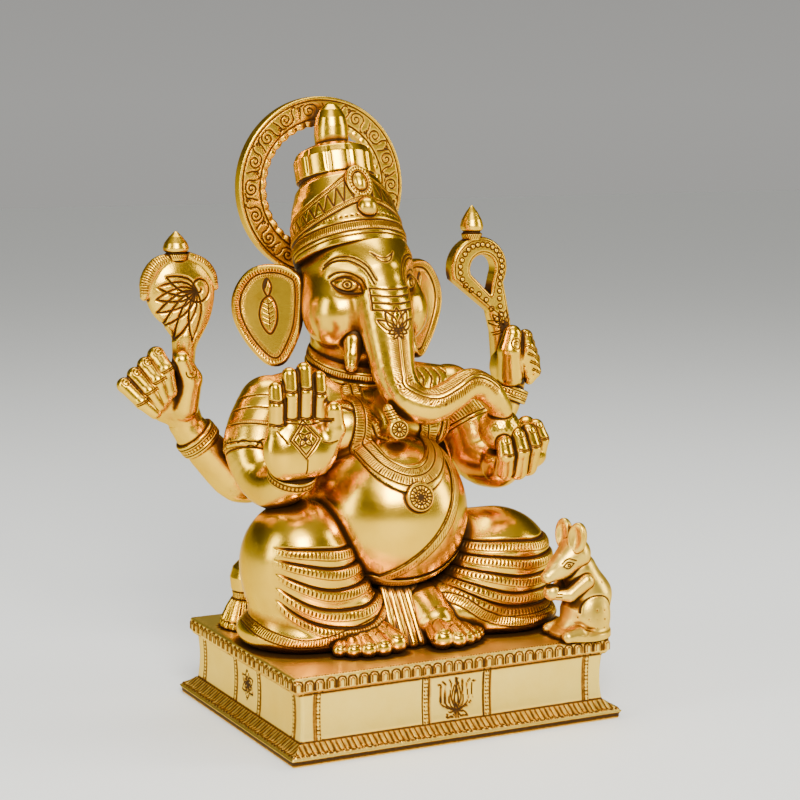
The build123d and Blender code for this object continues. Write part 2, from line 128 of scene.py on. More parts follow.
def limb(*stations, k=0.0):
    """A chain of tapered round bars. Each station is x, y, z and radius."""
    stations = np.array(stations, float)

    def field(p):
        total = None
        for start, end in zip(stations, stations[1:]):
            along = end[:3] - start[:3]
            share = np.clip((p - start[:3]) @ along / (along @ along), 0, 1)
            distance = np.linalg.norm(p - start[:3] - share[:, None] * along, axis=1)
            distance = distance - start[3] - (end[3] - start[3]) * share
            total = distance if total is None else soft_min(total, distance, k)
        return total
    return field


def smooth_path(stations, count):
    """Points of a Catmull-Rom curve through the stations."""
    stations = np.array(stations, float)
    padded = np.vstack([2 * stations[0] - stations[1], stations, 2 * stations[-1] - stations[-2]])
    points = []
    for t in np.linspace(0, len(stations) - 1, count):
        i = min(int(t), len(stations) - 2)
        u = t - i
        a, b, c, d = padded[i:i + 4]
        points.append(0.5 * (2 * b + (c - a) * u + (2 * a - 5 * b + 4 * c - d) * u ** 2
                             + (3 * b - a - 3 * c + d) * u ** 3))
    return np.array(points)


def above(z):
    return lambda p: z - p[:, 2]


def outline(points):
    """The signed distance in a plane to a closed outline."""
    points = np.array(points, float)

    def distance(x, y):
        nearest = np.full(x.shape, FAR)
        inside = np.zeros(x.shape, bool)
        for (ax, ay), (bx, by) in zip(points, np.roll(points, -1, axis=0)):
            ex, ey = bx - ax, by - ay
            share = np.clip(((x - ax) * ex + (y - ay) * ey) / (ex * ex + ey * ey), 0, 1)
            nearest = np.minimum(nearest, (x - ax - ex * share) ** 2 + (y - ay - ey * share) ** 2)
            if ay != by:
                inside ^= ((ay > y) != (by > y)) & (x < ax + (y - ay) * ex / ey)
        return np.sqrt(nearest) * np.where(inside, -1, 1)
    return distance


def lathe(origin, axis, profile, rounding=0.8):
    """A turned shape. profile is (radius, height) from foot to tip along the axis."""
    origin, axis = np.array(origin, float), unit(axis)
    distance = outline([(-30, profile[0][1]), *profile, (-30, profile[-1][1])])

    def field(p):
        height = (p - origin) @ axis
        radius = np.linalg.norm(p - origin - height[:, None] * axis, axis=1)
        return distance(radius, height) - rounding
    return field


def plate(centre, facing, up, shape, half_thick, rounding=1.0, bend=0.0):
    """A flat outline made thick, and bent about its upright axis by bend (1 / radius)."""
    centre, turn = np.array(centre, float), axes_for(facing, up)

    def field(p):
        a, b, w = ((p - centre) @ turn.T).T
        edge = shape(a, b)
        thick = half_thick(a, b, edge) if callable(half_thick) else half_thick
        side, over = edge + rounding, np.abs(w + bend * a * a) - thick + rounding
        outside = np.hypot(np.maximum(side, 0), np.maximum(over, 0))
        return outside + np.minimum(np.maximum(side, over), 0) - rounding
    return field


def lying_on(base, height, shape, rounding=0.6):
    """A raised layer on a base field, within a region, that reaches a little way into the base."""
    def field(p):
        depth = base(p)
        top, side = np.maximum(depth - height, -depth - SUNK) + rounding, shape(p) + rounding
        outside = np.hypot(np.maximum(top, 0), np.maximum(side, 0))
        return outside + np.minimum(np.maximum(top, side), 0) - rounding
    return field


def near_path(points, width):
    """The distance to a path seen from the front. Each point is X, Z and a share of the width."""
    points = np.array(points, float)

    def field(p):
        a, b = p[:, 0], p[:, 2]
        total = np.full(len(p), FAR)
        for start, end in zip(points, points[1:]):
            along = end[:2] - start[:2]
            share = np.clip(((a - start[0]) * along[0] + (b - start[1]) * along[1]) / (along @ along), 0, 1)
            here = np.hypot(a - start[0] - along[0] * share, b - start[1] - along[1] * share)
            total = np.minimum(total, here - width * (start[2] + (end[2] - start[2]) * share))
        return total
    return field


def wobble(p, size=0.12, pitch=17.0):
    """The slight unevenness of a hand-finished casting."""
    q = p / pitch
    return size * (np.sin(q[:, 0] * 1.3 + 2 * np.sin(q[:, 2]))
                   + np.sin(q[:, 1] * 1.7 + 1.5 * np.sin(q[:, 0] * 0.9))
                   + np.sin(q[:, 2] * 1.5 + q[:, 1]))


# ---------------------------------------------------------------- skins
CORNERS = np.array([(x, y, z) for x in (0, 1) for y in (0, 1) for z in (0, 1)])
CELL_EDGES = [(a, b) for a in range(8)
              for b in range(a + 1, 8) if np.abs(CORNERS[a] - CORNERS[b]).sum() == 1]


def sample(field, low, high, step):
    """The field on a grid, worked out only in the blocks near its surface."""
    blocks = np.ceil((high - low) / (step * BLOCK)).astype(int)
    middles = np.argwhere(np.ones(blocks, bool))
    rough = field(low + (middles + 0.5) * step * BLOCK).reshape(blocks)
    grid = np.repeat(np.repeat(np.repeat(np.where(rough < 0, -9.0, 9.0), BLOCK, 0), BLOCK, 1), BLOCK, 2)
    near = middles[np.abs(rough.ravel()) < NEAR_BLOCKS * step * BLOCK]
    inner = np.argwhere(np.ones((BLOCK,) * 3, bool))
    points = (near[:, None, :] * BLOCK + inner[None]).reshape(-1, 3)
    batches = np.array_split(points, 1 + len(points) // BATCH)
    values = np.concatenate([field(low + batch * step) for batch in batches])
    grid[tuple(points.T)] = values
    return grid


def surface_net(grid, low, step):
    """A mesh of the grid's zero surface: its points and its triangles."""
    inside = grid < 0
    size = np.array(grid.shape) - 1
    first = inside[:-1, :-1, :-1]
    crossed = np.zeros(size, bool)
    for x, y, z in CORNERS[1:]:
        crossed |= inside[x:size[0] + x, y:size[1] + y, z:size[2] + z] != first
    cells = np.argwhere(crossed)
    index = np.full(size, -1)
    index[crossed] = np.arange(len(cells))
    at = cells[:, None, :] + CORNERS[None]
    values = grid[at[..., 0], at[..., 1], at[..., 2]]
    total, count = np.zeros((len(cells), 3)), np.zeros(len(cells))
    for a, b in CELL_EDGES:
        cuts = (values[:, a] < 0) != (values[:, b] < 0)
        share = np.where(cuts, values[:, a] / np.where(cuts, values[:, a] - values[:, b], 1), 0)
        total += np.where(cuts[:, None], CORNERS[a] + share[:, None] * (CORNERS[b] - CORNERS[a]), 0)
        count += cuts
    points = low + step * (cells + total / count[:, None])
    quads = []
    for axis in range(3):
        u, v = (axis + 1) % 3, (axis + 2) % 3
        start = np.take(inside, range(grid.shape[axis] - 1), axis)
        end = np.take(inside, range(1, grid.shape[axis]), axis)
        edges = np.argwhere(start != end)
        edges = edges[(edges[:, u] > 0) & (edges[:, v] > 0) & (edges[:, u] < size[u])
                      & (edges[:, v] < size[v])]
        ring = []
        for du, dv in ((1, 1), (0, 1), (0, 0), (1, 0)):
            cell = edges.copy()
            cell[:, u] -= du
            cell[:, v] -= dv
            ring.append(index[tuple(cell.T)])
        ring = np.stack(ring, 1)
        ring[~start[tuple(edges.T)]] = ring[~start[tuple(edges.T)]][:, ::-1]
        quads.append(ring)
    quads = np.vstack(quads)
    return points, np.vstack([quads[:, [0, 1, 2]], quads[:, [0, 2, 3]]])


def slope(field, points, reach=0.08):
    """The unit normals of a field at points."""
    total = np.zeros(points.shape)
    for way in np.array([(1, -1, -1), (-1, -1, 1), (-1, 1, -1), (1, 1, 1)], float):
        total += way * field(points + way * reach)[:, None]
    return total / np.maximum(np.linalg.norm(total, axis=1), 1e-9)[:, None]


def settle(field, points, rounds):
    """Points moved onto the field's surface, and their normals."""
    for _ in range(rounds):
        move = np.clip(field(points), -LONGEST_MOVE, LONGEST_MOVE)
        points = points - move[:, None] * slope(field, points)
    return points, slope(field, points)


def refine(points, faces, wanted):
    """Halves the edges that join two wanted points, and splits the triangles to suit."""
    edges = np.sort(np.vstack([faces[:, [0, 1]], faces[:, [1, 2]], faces[:, [2, 0]]]), axis=1)
    keys, back = np.unique(edges[:, 0] * len(points) + edges[:, 1], return_inverse=True)
    ends = np.stack([keys // len(points), keys % len(points)], 1)
    halved = wanted[ends].all(1)
    middle = np.full(len(keys), -1)
    middle[halved] = len(points) + np.arange(halved.sum())
    points = np.vstack([points, points[ends[halved]].mean(1)])
    middle = middle[back].reshape(3, -1).T
    count = (middle >= 0).sum(1)
    parts = [faces[count == 0]]
    f, m = faces[count == 3], middle[count == 3]
    parts += [np.stack(t, 1) for t in ((f[:, 0], m[:, 0], m[:, 2]), (m[:, 0], f[:, 1], m[:, 1]),
                                       (m[:, 2], m[:, 1], f[:, 2]), (m[:, 0], m[:, 1], m[:, 2]))]
    for k in range(3):
        here = (count == 1) & (middle[:, k] >= 0)
        f, m = np.roll(faces[here], -k, axis=1), middle[here, k]
        parts += [np.stack((f[:, 0], m, f[:, 2]), 1), np.stack((m, f[:, 1], f[:, 2]), 1)]
        here = (count == 2) & (middle[:, k] < 0)
        first = (k + 1) % 3
        f = np.roll(faces[here], -first, axis=1)
        a, b = middle[here, first], middle[here, (first + 1) % 3]
        parts += [np.stack(t, 1) for t in ((a, f[:, 1], b), (f[:, 0], a, b), (f[:, 0], b, f[:, 2]))]
    return points, np.vstack(parts)


def to_mesh(name, points, faces, patina_and_shade, material, node_names):
    mesh = bpy.data.meshes.new(name)
    mesh.vertices.add(len(points))
    mesh.vertices.foreach_set("co", (points * MM).astype(np.float32).ravel())
    mesh.loops.add(3 * len(faces))
    mesh.loops.foreach_set("vertex_index", faces.astype(np.int32).ravel())
    mesh.polygons.add(len(faces))
    mesh.polygons.foreach_set("loop_start", np.arange(0, 3 * len(faces), 3, dtype=np.int32))
    mesh.polygons.foreach_set("loop_total", np.full(len(faces), 3, dtype=np.int32))
    mesh.update(calc_edges=True)
    mesh.shade_smooth()
    # the per-point darkening: brown tarnish in engraved grooves, and painted shade in recesses and between
    # pieces
    mesh.attributes.new("patina_and_shade", "FLOAT", "POINT").data.foreach_set("value", patina_and_shade.astype(np.float32))
    mesh.materials.append(material)
    piece = bpy.data.objects.new(name, mesh)
    bpy.context.scene.collection.objects.link(piece)
    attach(piece, "root")
    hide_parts(*node_names)


pieces = []


def sculpt(name, field, nodes, step, marks=(), slot="figure_brass", margin=MARGIN, box=None):
    """Lists a piece to be skinned once every field is known."""
    if box is None:
        corners = np.array([np.array(corner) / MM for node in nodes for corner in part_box(node)])
        low, high = corners.min(0) - margin, corners.max(0) + margin
    else:
        low, high = np.array(box[0], float), np.array(box[1], float)
    pieces.append(dict(name=name, field=field, nodes=nodes, step=step * COARSE, marks=marks, slot=slot,
                       low=low, high=high))


def crevice_shade_and_patina(piece, points, normals):
    """How enclosed each point is, by its own piece and by the pieces around it.
    This is painted shade in recesses, between pieces and where pieces stand on one another, taken
    together with the brown tarnish that gathers in such hollows.
    """
    total = np.zeros(len(points))
    for reach in CREVICE_REACHES:
        probe = points + normals * reach
        clear = piece["field"](probe)
        for other in pieces:
            if other is piece or (other["low"] > piece["high"]).any() or (other["high"] < piece["low"]).any():
                continue
            here = ((probe > other["low"] - 2) & (probe < other["high"] + 2)).all(1)
            if here.any():
                clear[here] = np.minimum(clear[here], other["field"](probe[here]))
        total += np.clip(1 - clear / reach, 0, 1) / len(CREVICE_REACHES)
    return np.clip((total - CREVICE_START) / CREVICE_SPAN, 0, 1)


def engrave(piece, points, normals):
    """The height and darkness of all of a piece's marks together."""
    height, dark = np.zeros(len(points)), np.zeros(len(points))
    for mark in piece["marks"]:
        more, darker = mark(points, normals)
        height += more
        dark = np.maximum(dark, darker)
    return height, np.clip(dark, 0, 1)


def build(piece, materials):
    """Skins a piece, engraves it and makes it a mesh."""
    field, step = piece["field"], piece["step"]
    points, faces = surface_net(sample(field, piece["low"], piece["high"], step), piece["low"], step)
    points, normals = settle(field, points, 2)
    height, dark = engrave(piece, points, normals)
    if piece["marks"] and COARSE == 1.0:
        wanted = (np.abs(height) > REFINE_HEIGHT) | (dark > REFINE_DARK)
        points, faces = refine(points, faces, wanted)
        points, normals = settle(field, points, 1)
        height, dark = engrave(piece, points, normals)
    # tarnish in engraved grooves, together with the painted shade of recesses, joints and contact areas
    patina_and_shade = np.maximum(dark, crevice_shade_and_patina(piece, points, normals))
    points = points + normals * height[:, None]
    material = materials[piece["slot"]]
    to_mesh(piece["name"], points, faces, patina_and_shade, material, piece["nodes"])


# ---------------------------------------------------------------- marks
# A pattern takes s along a guide and t across it, and gives a height and a darkness.
# A mark puts patterns on a piece: engraving, hatching, beads and relief.
def groove(at=0.0, width=0.45, depth=0.4):
    def pattern(s, t):
        near = np.exp(-((t - at) / width) ** 2)
        return -depth * near, near
    return pattern


def within(t, low, high, soft=0.25):
    return 1 / (1 + np.exp(np.clip((low - t) / soft, -30, 30))) / (1
        + np.exp(np.clip((t - high) / soft, -30, 30)))


def hatch(low, high, pitch, slant=0.0, width=0.28, depth=0.25):
    """Short cuts across a band."""
    def pattern(s, t):
        phase = (s + slant * t) / pitch
        near = np.exp(-((phase - np.round(phase)) * pitch / width) ** 2) * within(t, low, high)
        return -depth * near, 0.85 * near
    return pattern


def zigzag(low, high, pitch, width=0.38, depth=0.3):
    """Triangles between two lines, each with a cut down its middle."""
    def pattern(s, t):
        phase = s / pitch - np.floor(s / pitch)
        peak = low + (high - low) * (1 - np.abs(2 * phase - 1))
        steep = (high - low) * 2 / pitch
        near = np.exp(-((t - peak) / math.hypot(1, steep) / width) ** 2)
        middle = np.exp(-((phase - 0.5) * pitch / width) ** 2) * within(t, low, low + 0.55 * (high - low))
        near = np.maximum(near, 0.8 * middle) * within(t, low - 0.3, high + 0.3)
        return -depth * near, 0.9 * near
    return pattern


def dots(at, pitch, radius=0.45, depth=0.4, shift=0.0):
    def pattern(s, t):
        phase = s / pitch + shift
        near = np.exp(-(np.hypot((phase - np.round(phase)) * pitch, t - at) / radius) ** 2)
        return -depth * near, 0.95 * near
    return pattern


def beads(at, pitch, radius, rise):
    """A row of raised beads in a dark bed."""
    def pattern(s, t):
        phase = s / pitch
        away = np.hypot((phase - np.round(phase)) * pitch, t - at) / radius
        bed = within(t, at - radius * 1.15, at + radius * 1.15, 0.15)
        dome = np.sqrt(np.clip(1 - away ** 2, 0, 1))
        return rise * dome - 0.15 * bed, bed * np.clip((away - 0.8) / 0.35, 0, 1)
    return pattern


def ridge(low, high, rise, soft=0.5):
    return lambda s, t: (rise * within(t, low, high, soft), np.zeros(len(t)))


def on(guide, *patterns):
    """A mark: patterns laid on the points that a guide gives coordinates to."""
    def mark(p, n):
        height, dark = np.zeros(len(p)), np.zeros(len(p))
        here, s, t = guide(p, n)
        for pattern in patterns:
            more, darker = pattern(s, t)
            height[here] += more
            dark[here] = np.maximum(dark[here], darker)
        return height, dark
    return mark


def turning(origin, axis, front, radius, low=-FAR, high=FAR):
    """s is the way round an axis at a radius, from the front, and t the height along it."""
    origin, axis = np.array(origin, float), unit(axis)
    ahead = unit(np.array(front, float) - np.dot(front, axis) * axis)
    side = np.cross(axis, ahead)

    def guide(p, n):
        q = p - origin
        t = q @ axis
        here = (t > low) & (t < high)
        q = q[here]
        return here, np.arctan2(q @ side, q @ ahead) * radius, t[here]
    return guide


def along(points, reach):
    """s is the way along a 3-D guide line and t the distance to its right, seen from outside."""
    points = np.array(points, float)

    def guide(p, n):
        low, high = points.min(0) - reach, points.max(0) + reach
        here = ((p > low) & (p < high)).all(1)
        q, m = p[here], n[here]
        best, s, t = np.full(len(q), FAR), np.zeros(len(q)), np.zeros(len(q))
        walked = 0.0
        for start, end in zip(points, points[1:]):
            way = end - start
            length = np.linalg.norm(way)
            share = (q - start) @ way / length ** 2
            away = q - start - np.clip(share, 0, 1)[:, None] * way
            distance = np.linalg.norm(away, axis=1)
            closer = distance < best
            best[closer] = distance[closer]
            side = np.cross(way / length, m[closer])
            s[closer] = walked + np.clip(share[closer], 0, 1) * length
            t[closer] = (side * away[closer]).sum(1)
            walked += length
        close = (best < reach) & (s > 0) & (s < walked)
        chosen = np.zeros(len(p), bool)
        chosen[np.flatnonzero(here)[close]] = True
        return chosen, s[close], t[close]
    return guide


def path_distance(a, b, paths):
    """The distance in a plane to the nearest of some lines."""
    total = np.full(len(a), FAR)
    for path in paths:
        path = np.array(path, float)
        for (ax, ay), (bx, by) in zip(path, path[1:]):
            ex, ey = bx - ax, by - ay
            share = np.clip(((a - ax) * ex + (b - ay) * ey) / (ex * ex + ey * ey + 1e-9), 0, 1)
            total = np.minimum(total, np.hypot(a - ax - ex * share, b - ay - ey * share))
    return total


def drawn(centre, facing, up, paths, width=0.45, depth=0.45, reach=14.0, size=1.0):
    """A mark: lines drawn on a plane facing the surface and cut into it."""
    turn, centre = axes_for(facing, up), np.array(centre, float)
    paths = [np.array(path, float) * size for path in paths]
    corners = np.vstack(paths)
    low, high = corners.min(0) - 2, corners.max(0) + 2

    def mark(p, n):
        height, dark = np.zeros(len(p)), np.zeros(len(p))
        q = (p - centre) @ turn.T
        here = (np.abs(q[:, 2]) < reach) & (n @ turn[2] > 0.05)
        here &= (q[:, 0] > low[0]) & (q[:, 0] < high[0]) & (q[:, 1] > low[1]) & (q[:, 1] < high[1])
        near = np.exp(-(path_distance(q[here, 0], q[here, 1], paths) / width) ** 2)
        height[here], dark[here] = -depth * near, near
        return height, dark
    return mark


def relief(centre, facing, up, shape, rise, reach=14.0, soft=1.2):
    """A mark: an outline that stands up from the surface, dark round its foot."""
    turn, centre = axes_for(facing, up), np.array(centre, float)

    def mark(p, n):
        height, dark = np.zeros(len(p)), np.zeros(len(p))
        q = (p - centre) @ turn.T
        here = (np.abs(q[:, 2]) < reach) & (n @ turn[2] > 0.05) & (np.hypot(q[:, 0], q[:, 1]) < 40)
        edge = shape(q[here, 0], q[here, 1])
        height[here] = rise * np.clip(-edge / soft, 0, 1) ** 0.6
        dark[here] = np.exp(-((edge - 0.3) / 0.6) ** 2)
        return height, dark
    return mark


# outlines and lines to draw with
def arc(x, y, radius, start, end, count=12):
    angles = np.radians(np.linspace(start, end, count))
    return np.stack([x + radius * np.cos(angles), y + radius * np.sin(angles)], 1)


def curl(x, y, radius, start, turns, count=22):
    """A spiral that winds in to its middle."""
    share = np.linspace(0, 1, count)
    angles = np.radians(start + 360 * turns * share)
    radii = radius * (1 - 0.85 * share)
    return np.stack([x + radii * np.cos(angles), y + radii * np.sin(angles)], 1)


def curve(*points, count=16):
    return smooth_path(points, count)


def loop(*points, count=48):
    """A smooth closed outline through its points."""
    points = np.array(points, float)
    return smooth_path(np.vstack([points[-2:], points, points[:2]]), count + 12)[6:-6]


def petal(x, y, length, width, angle):
    """A pointed leaf from its foot, at an angle from upright."""
    side = curve((0, 0), (0.5, 0.35), (0.32, 0.75), (0, 1), count=9)
    both = np.vstack([side, (side * (-1, 1))[::-1]]) * (width, length)
    c, s = math.cos(math.radians(angle)), math.sin(math.radians(angle))
    return both @ np.array([(c, -s), (s, c)]) + (x, y)


def lotus(size):
    """A lotus: pointed petals over a foot of small leaves."""
    lines = [petal(0, 0, 10, 5, 0), petal(-1, 0, 9.4, 4.4, -28), petal(1, 0, 9.4, 4.4, 28),
             petal(-1.5, -0.5, 9, 3.6, -56), petal(1.5, -0.5, 9, 3.6, 56),
             petal(0, 0, 5, 3, -112), petal(0, 0, 5, 3, 112), petal(0, -0.5, 4.4, 2.4, 150),
             petal(0, -0.5, 4.4, 2.4, -150)]
    return [line * size / 10 for line in lines]


# ---------------------------------------------------------------- materials
def brass(name, bright, deep, roughness, grain, seed):
    """Polished brass, turned dark brown where the point's stored value is high: brown tarnish in engraved
    grooves, and painted shade in recesses, between pieces and where pieces meet.
    """
    material = bpy.data.materials.new(name)
    material.use_nodes = True
    tree = material.node_tree
    tree.nodes.clear()

    def node(kind, **settings):
        made = tree.nodes.new(kind)
        for key, value in settings.items():
            setattr(made, key, value)
        return made

    def noise(scale, detail, rough=0.5):
        made = node("ShaderNodeTexNoise")
        made.noise_dimensions = "4D"
        made.inputs["Scale"].default_value = scale
        made.inputs["Detail"].default_value = detail
        made.inputs["Roughness"].default_value = rough
        made.inputs["W"].default_value = seed
        tree.links.new(where.outputs["Object"], made.inputs["Vector"])
        return made.outputs["Fac"]

    def number(operation, a, b):
        made = node("ShaderNodeMath", operation=operation)
        for socket, value in zip(made.inputs, (a, b)):
            if isinstance(value, (int, float)):
                socket.default_value = value
            else:
                tree.links.new(value, socket)
        return made.outputs[0]

    def ramp(fac, stops):
        made = node("ShaderNodeValToRGB")
        elements = made.color_ramp.elements
        while len(elements) < len(stops):
            elements.new(0.5)
        for element, (place, colour) in zip(elements, stops):
            element.position = place
            element.color = (*colour, 1)
        tree.links.new(fac, made.inputs[0])
        return made.outputs["Color"]

    def grey(value):
        return (value, value, value)

    where = node("ShaderNodeTexCoord")
    # the stored value: tarnish in grooves plus painted shade in recesses, between pieces and where they meet
    stored_patina_and_shade = node("ShaderNodeAttribute", attribute_name="patina_and_shade").outputs["Fac"]
    cloudy, speckled, fine = noise(38, 4, 0.6), noise(420, 5, 0.7), noise(1500, 3, 0.6)
    speck = number("MULTIPLY", number("SUBTRACT", speckled, 0.5), 0.9)
    stain = number("MAXIMUM", number("MULTIPLY", number("SUBTRACT", cloudy, 0.57), 0.8), 0.0)
    # tarnish with specks and stains, plus the painted recess shade carried in the stored value
    patina_and_shade = number("ADD", number("ADD", stored_patina_and_shade, number("MULTIPLY", speck, number("ADD", stored_patina_and_shade, 0.1))), stain)
    metal = ramp(cloudy, [(0.3, deep), (0.62, bright)])
    # darkens the metal colour by it: brown tarnish, and painted shade in recesses and between pieces
    oxide_and_shade = ramp(patina_and_shade, [(0.1, (1, 1, 1)), (0.32, (0.55, 0.36, 0.17)), (0.54, (0.13, 0.06, 0.024)),
                          (0.85, (0.03, 0.014, 0.007))])
    colour = node("ShaderNodeMix", data_type="RGBA", blend_type="MULTIPLY")
    colour.inputs["Factor"].default_value = 1.0
    tree.links.new(metal, colour.inputs["A"])
    tree.links.new(oxide_and_shade, colour.inputs["B"])
    shader = node("ShaderNodeBsdfPrincipled")
    tree.links.new(colour.outputs["Result"], shader.inputs["Base Color"])
    shader.inputs["Specular Tint"].default_value = (1.0, 0.8, 0.4, 1)
    tree.links.new(ramp(patina_and_shade, [(0.3, grey(1.0)), (0.85, grey(0.45))]), shader.inputs["Metallic"])
    gloss = number("ADD", roughness, number("MULTIPLY", number("SUBTRACT", speckled, 0.35), 0.16))
    gloss = number("ADD", gloss, number("MULTIPLY", number("MAXIMUM", patina_and_shade, 0.0), 0.38))
    tree.links.new(number("ADD", gloss, number("MULTIPLY", cloudy, 0.06)), shader.inputs["Roughness"])
    bump = node("ShaderNodeBump")
    bump.inputs["Strength"].default_value = grain
    bump.inputs["Distance"].default_value = 0.0004
    tree.links.new(number("ADD", speckled, number("MULTIPLY", fine, 0.5)), bump.inputs["Height"])
    tree.links.new(bump.outputs["Normal"], shader.inputs["Normal"])
    output = node("ShaderNodeOutputMaterial")
    tree.links.new(shader.outputs[0], output.inputs[0])
    return material


materials = {
    "figure_brass": brass("figure_brass", (0.94, 0.565, 0.022), (0.80, 0.44, 0.012), 0.17, 0.10, 1.0),
    "ornament_brass": brass("ornament_brass", (0.94, 0.58, 0.03), (0.76, 0.42, 0.014), 0.22, 0.16, 2.0),
    "mouse_brass": brass("mouse_brass", (0.96, 0.64, 0.08), (0.80, 0.48, 0.035), 0.28, 0.22, 3.0),
    "plinth_brass": brass("plinth_brass", (1.0, 0.72, 0.13), (0.94, 0.64, 0.08), 0.30, 0.28, 4.0),
}


def steel(name):
    """Dull zinc-plated steel, slightly clouded."""
    material = bpy.data.materials.new(name)
    material.use_nodes = True
    tree = material.node_tree
    shader = tree.nodes["Principled BSDF"]
    place = tree.nodes.new("ShaderNodeTexCoord")
    clouds = tree.nodes.new("ShaderNodeTexNoise")
    clouds.inputs["Scale"].default_value = 300
    tint = tree.nodes.new("ShaderNodeValToRGB")
    tint.color_ramp.elements[0].color = (0.30, 0.30, 0.30, 1)
    tint.color_ramp.elements[1].color = (0.58, 0.58, 0.56, 1)
    dull = tree.nodes.new("ShaderNodeMath")
    dull.operation = "MULTIPLY_ADD"
    dull.inputs[1].default_value = 0.25
    dull.inputs[2].default_value = 0.28
    for start, end in ((place.outputs["Object"], clouds.inputs["Vector"]),
                       (clouds.outputs["Fac"], tint.inputs[0]),
                       (tint.outputs["Color"], shader.inputs["Base Color"]),
                       (clouds.outputs["Fac"], dull.inputs[0]),
                       (dull.outputs[0], shader.inputs["Roughness"])):
        tree.links.new(start, end)
    shader.inputs["Metallic"].default_value = 1.0
    return material


materials["fixing_steel"] = steel("fixing_steel")


# ---------------------------------------------------------------- torso
MIDDLE_X = -10.0
belly = ball((MIDDLE_X, -10, 127), 48.5)
torso_shape = join(9, belly, egg((MIDDLE_X, 22, 172), (47, 36, 34)), egg((MIDDLE_X, 34, 130), (50, 62, 40)),
                   egg((MIDDLE_X, 28, 84), (60, 48, 44)), limb((-64, 31, 191, 18), (MIDDLE_X, 33, 200, 18),
                       (44, 31, 191, 18), k=6))
breasts = [egg((MIDDLE_X + side * 23, -4, 178), (21, 17, 15)) for side in (-1, 1)]
torso_field = common(0.5, join(3.5, torso_shape, *breasts), above(SEAT_Z))


def torso_surface(p):
    return torso_field(p) - wobble(p)


shawl_edge, _ = settle(torso_field, smooth_path([(-59, 8, 214), (-50, -8, 208), (-40, -20, 200),
                                                 (-30, -26, 192), (-20, -30, 184)],
                                                30), 25)
shoulder_pleats = [curve((-13 + 6 * i, 14), (-11 + 6 * i, 7), (-13.5 + 6 * i, 0), (-11 + 6 * i, -8))
                   for i in range(5)]
sash_folds = [curve((-6 + 5 * i, 16), (-7.5 + 5 * i, 2), (-11 + 5 * i, -14)) for i in range(4)]
sculpt("torso", torso_surface, ["torso_casting"], 1.03, [
    on(along(shawl_edge, 7), groove(0, 0.7, 0.9), ridge(-4.5, -0.8, 0.9, 0.5), hatch(-3.6, -1.4, 1.7)),
    drawn((34, 6, 204), (0.1, -0.7, 0.7), (0, 0, 1), shoulder_pleats, 0.55, 0.6),
    drawn((26, -14, 176), (0.1, -1, 0.1), (0, 0, 1), sash_folds, 0.9, 1.2, 20),
    drawn((-34, -20, 196), (-0.1, -0.9, 0.4), (0, 0, 1), [
        curve((6, -4), (2, -12), (-2, -20)), curve((8, -4), (5, -12), (2, -20))], 0.5, 0.5)])

GARLAND = [(-28, 202, 0.7), (-30, 194, 0.75), (-31, 185, 0.8), (-32.5, 176, 0.85), (-33, 168, 0.95),
           (-30.5, 161, 1.05), (-24, 156, 1.15), (-15, 153.2, 1.15), (-5, 154.5, 1.1), (4, 160, 1.0),
           (10.5, 168, 0.9), (13, 177, 0.8), (11, 186, 0.75), (7, 194, 0.7)]
garland_path = smooth_path(GARLAND, 40)


def in_front_of(y):
    return lambda p: p[:, 1] - y


garland_region = near_path(garland_path, 6.8)
garland_field = common(0.3, lying_on(torso_surface, 2.1, garland_region), in_front_of(8))


def fall_on(field, path, start_y=-90.0):
    """Points of a path drawn in X and Z, dropped backwards on to a field."""
    points = np.array([(x, start_y, z) for x, z, *rest in path])
    for _ in range(60):
        points[:, 1] += np.maximum(field(points), 0) * 0.8
    return points


garland_guide = along(fall_on(torso_surface, garland_path), 9)
sculpt("garland", garland_field, ["garland"], 0.6, [
    on(garland_guide, groove(-0.8, 0.5, 0.5), groove(5.2, 0.45, 0.4), groove(-5.4, 0.4, 0.35),
       hatch(0.2, 4.6, 1.5), hatch(-4.9, -1.6, 1.5, 0.4))], "ornament_brass",
    box=((-56, -66, 138), (28, 12, 206)))
medallion = plate((-13, -56.5, 143), (-0.05, -0.94, 0.25), (0, 0, 1), lambda a, b: np.hypot(a, b) - 8.6,
                  3.0, 1.0)
sculpt("medallion", medallion, ["garland_medallion"], 0.5, [
    drawn((-13, -58, 143), (-0.05, -0.94, 0.25), (0, 0, 1),
          [arc(0, 0, 7.0, 0, 360, 30), arc(0, 0, 4.4, 0, 360, 24)]
          + [petal(0, 0, 4, 2, angle) for angle in range(0, 360, 45)]
          + [[(4.9 * math.cos(a), 4.9 * math.sin(a)), (6.5 * math.cos(a), 6.5 * math.sin(a))]
             for a in np.radians(range(0, 360, 20))])], "ornament_brass",
       box=((-26, -66, 130), (0, -48, 156)))

THREAD = [(17, 172, 1.0), (19, 158, 1.0), (16, 143, 1.0), (8, 127, 1.0), (-4, 112, 1.0), (-18, 99, 1.0),
          (-30, 91, 0.9)]
thread_path = smooth_path(THREAD, 26)
thread_guide = along(fall_on(torso_surface, thread_path), 7)
sculpt("sacred_thread", lying_on(torso_surface, 1.1, near_path(thread_path, 3.6)), ["sacred_thread"], 0.6, [
    on(thread_guide, groove(2.9, 0.45, 0.4), groove(-2.9, 0.45, 0.4),
       hatch(-2.0, 2.0, 1.9, 0.8, 0.22, 0.12))],
    "ornament_brass", box=((-38, -64, 84), (28, -20, 178)))
BELT = [(-36, 92, 1.0), (-22, 88, 1.0), (-4, 88.5, 1.0), (12, 93, 1.0), (26, 100, 1.0)]
belt_path = smooth_path(BELT, 20)
sculpt("waist_belt", lying_on(torso_surface, 1.3, near_path(belt_path, 2.6)), ["waist_belt"], 0.6, [
    on(along(fall_on(torso_surface, belt_path), 6), groove(2.2, 0.4, 0.4), groove(-2.2, 0.4, 0.4),
       hatch(-1.6, 1.6, 1.5))],
    "ornament_brass", box=((-46, -60, 80), (36, -8, 106)))

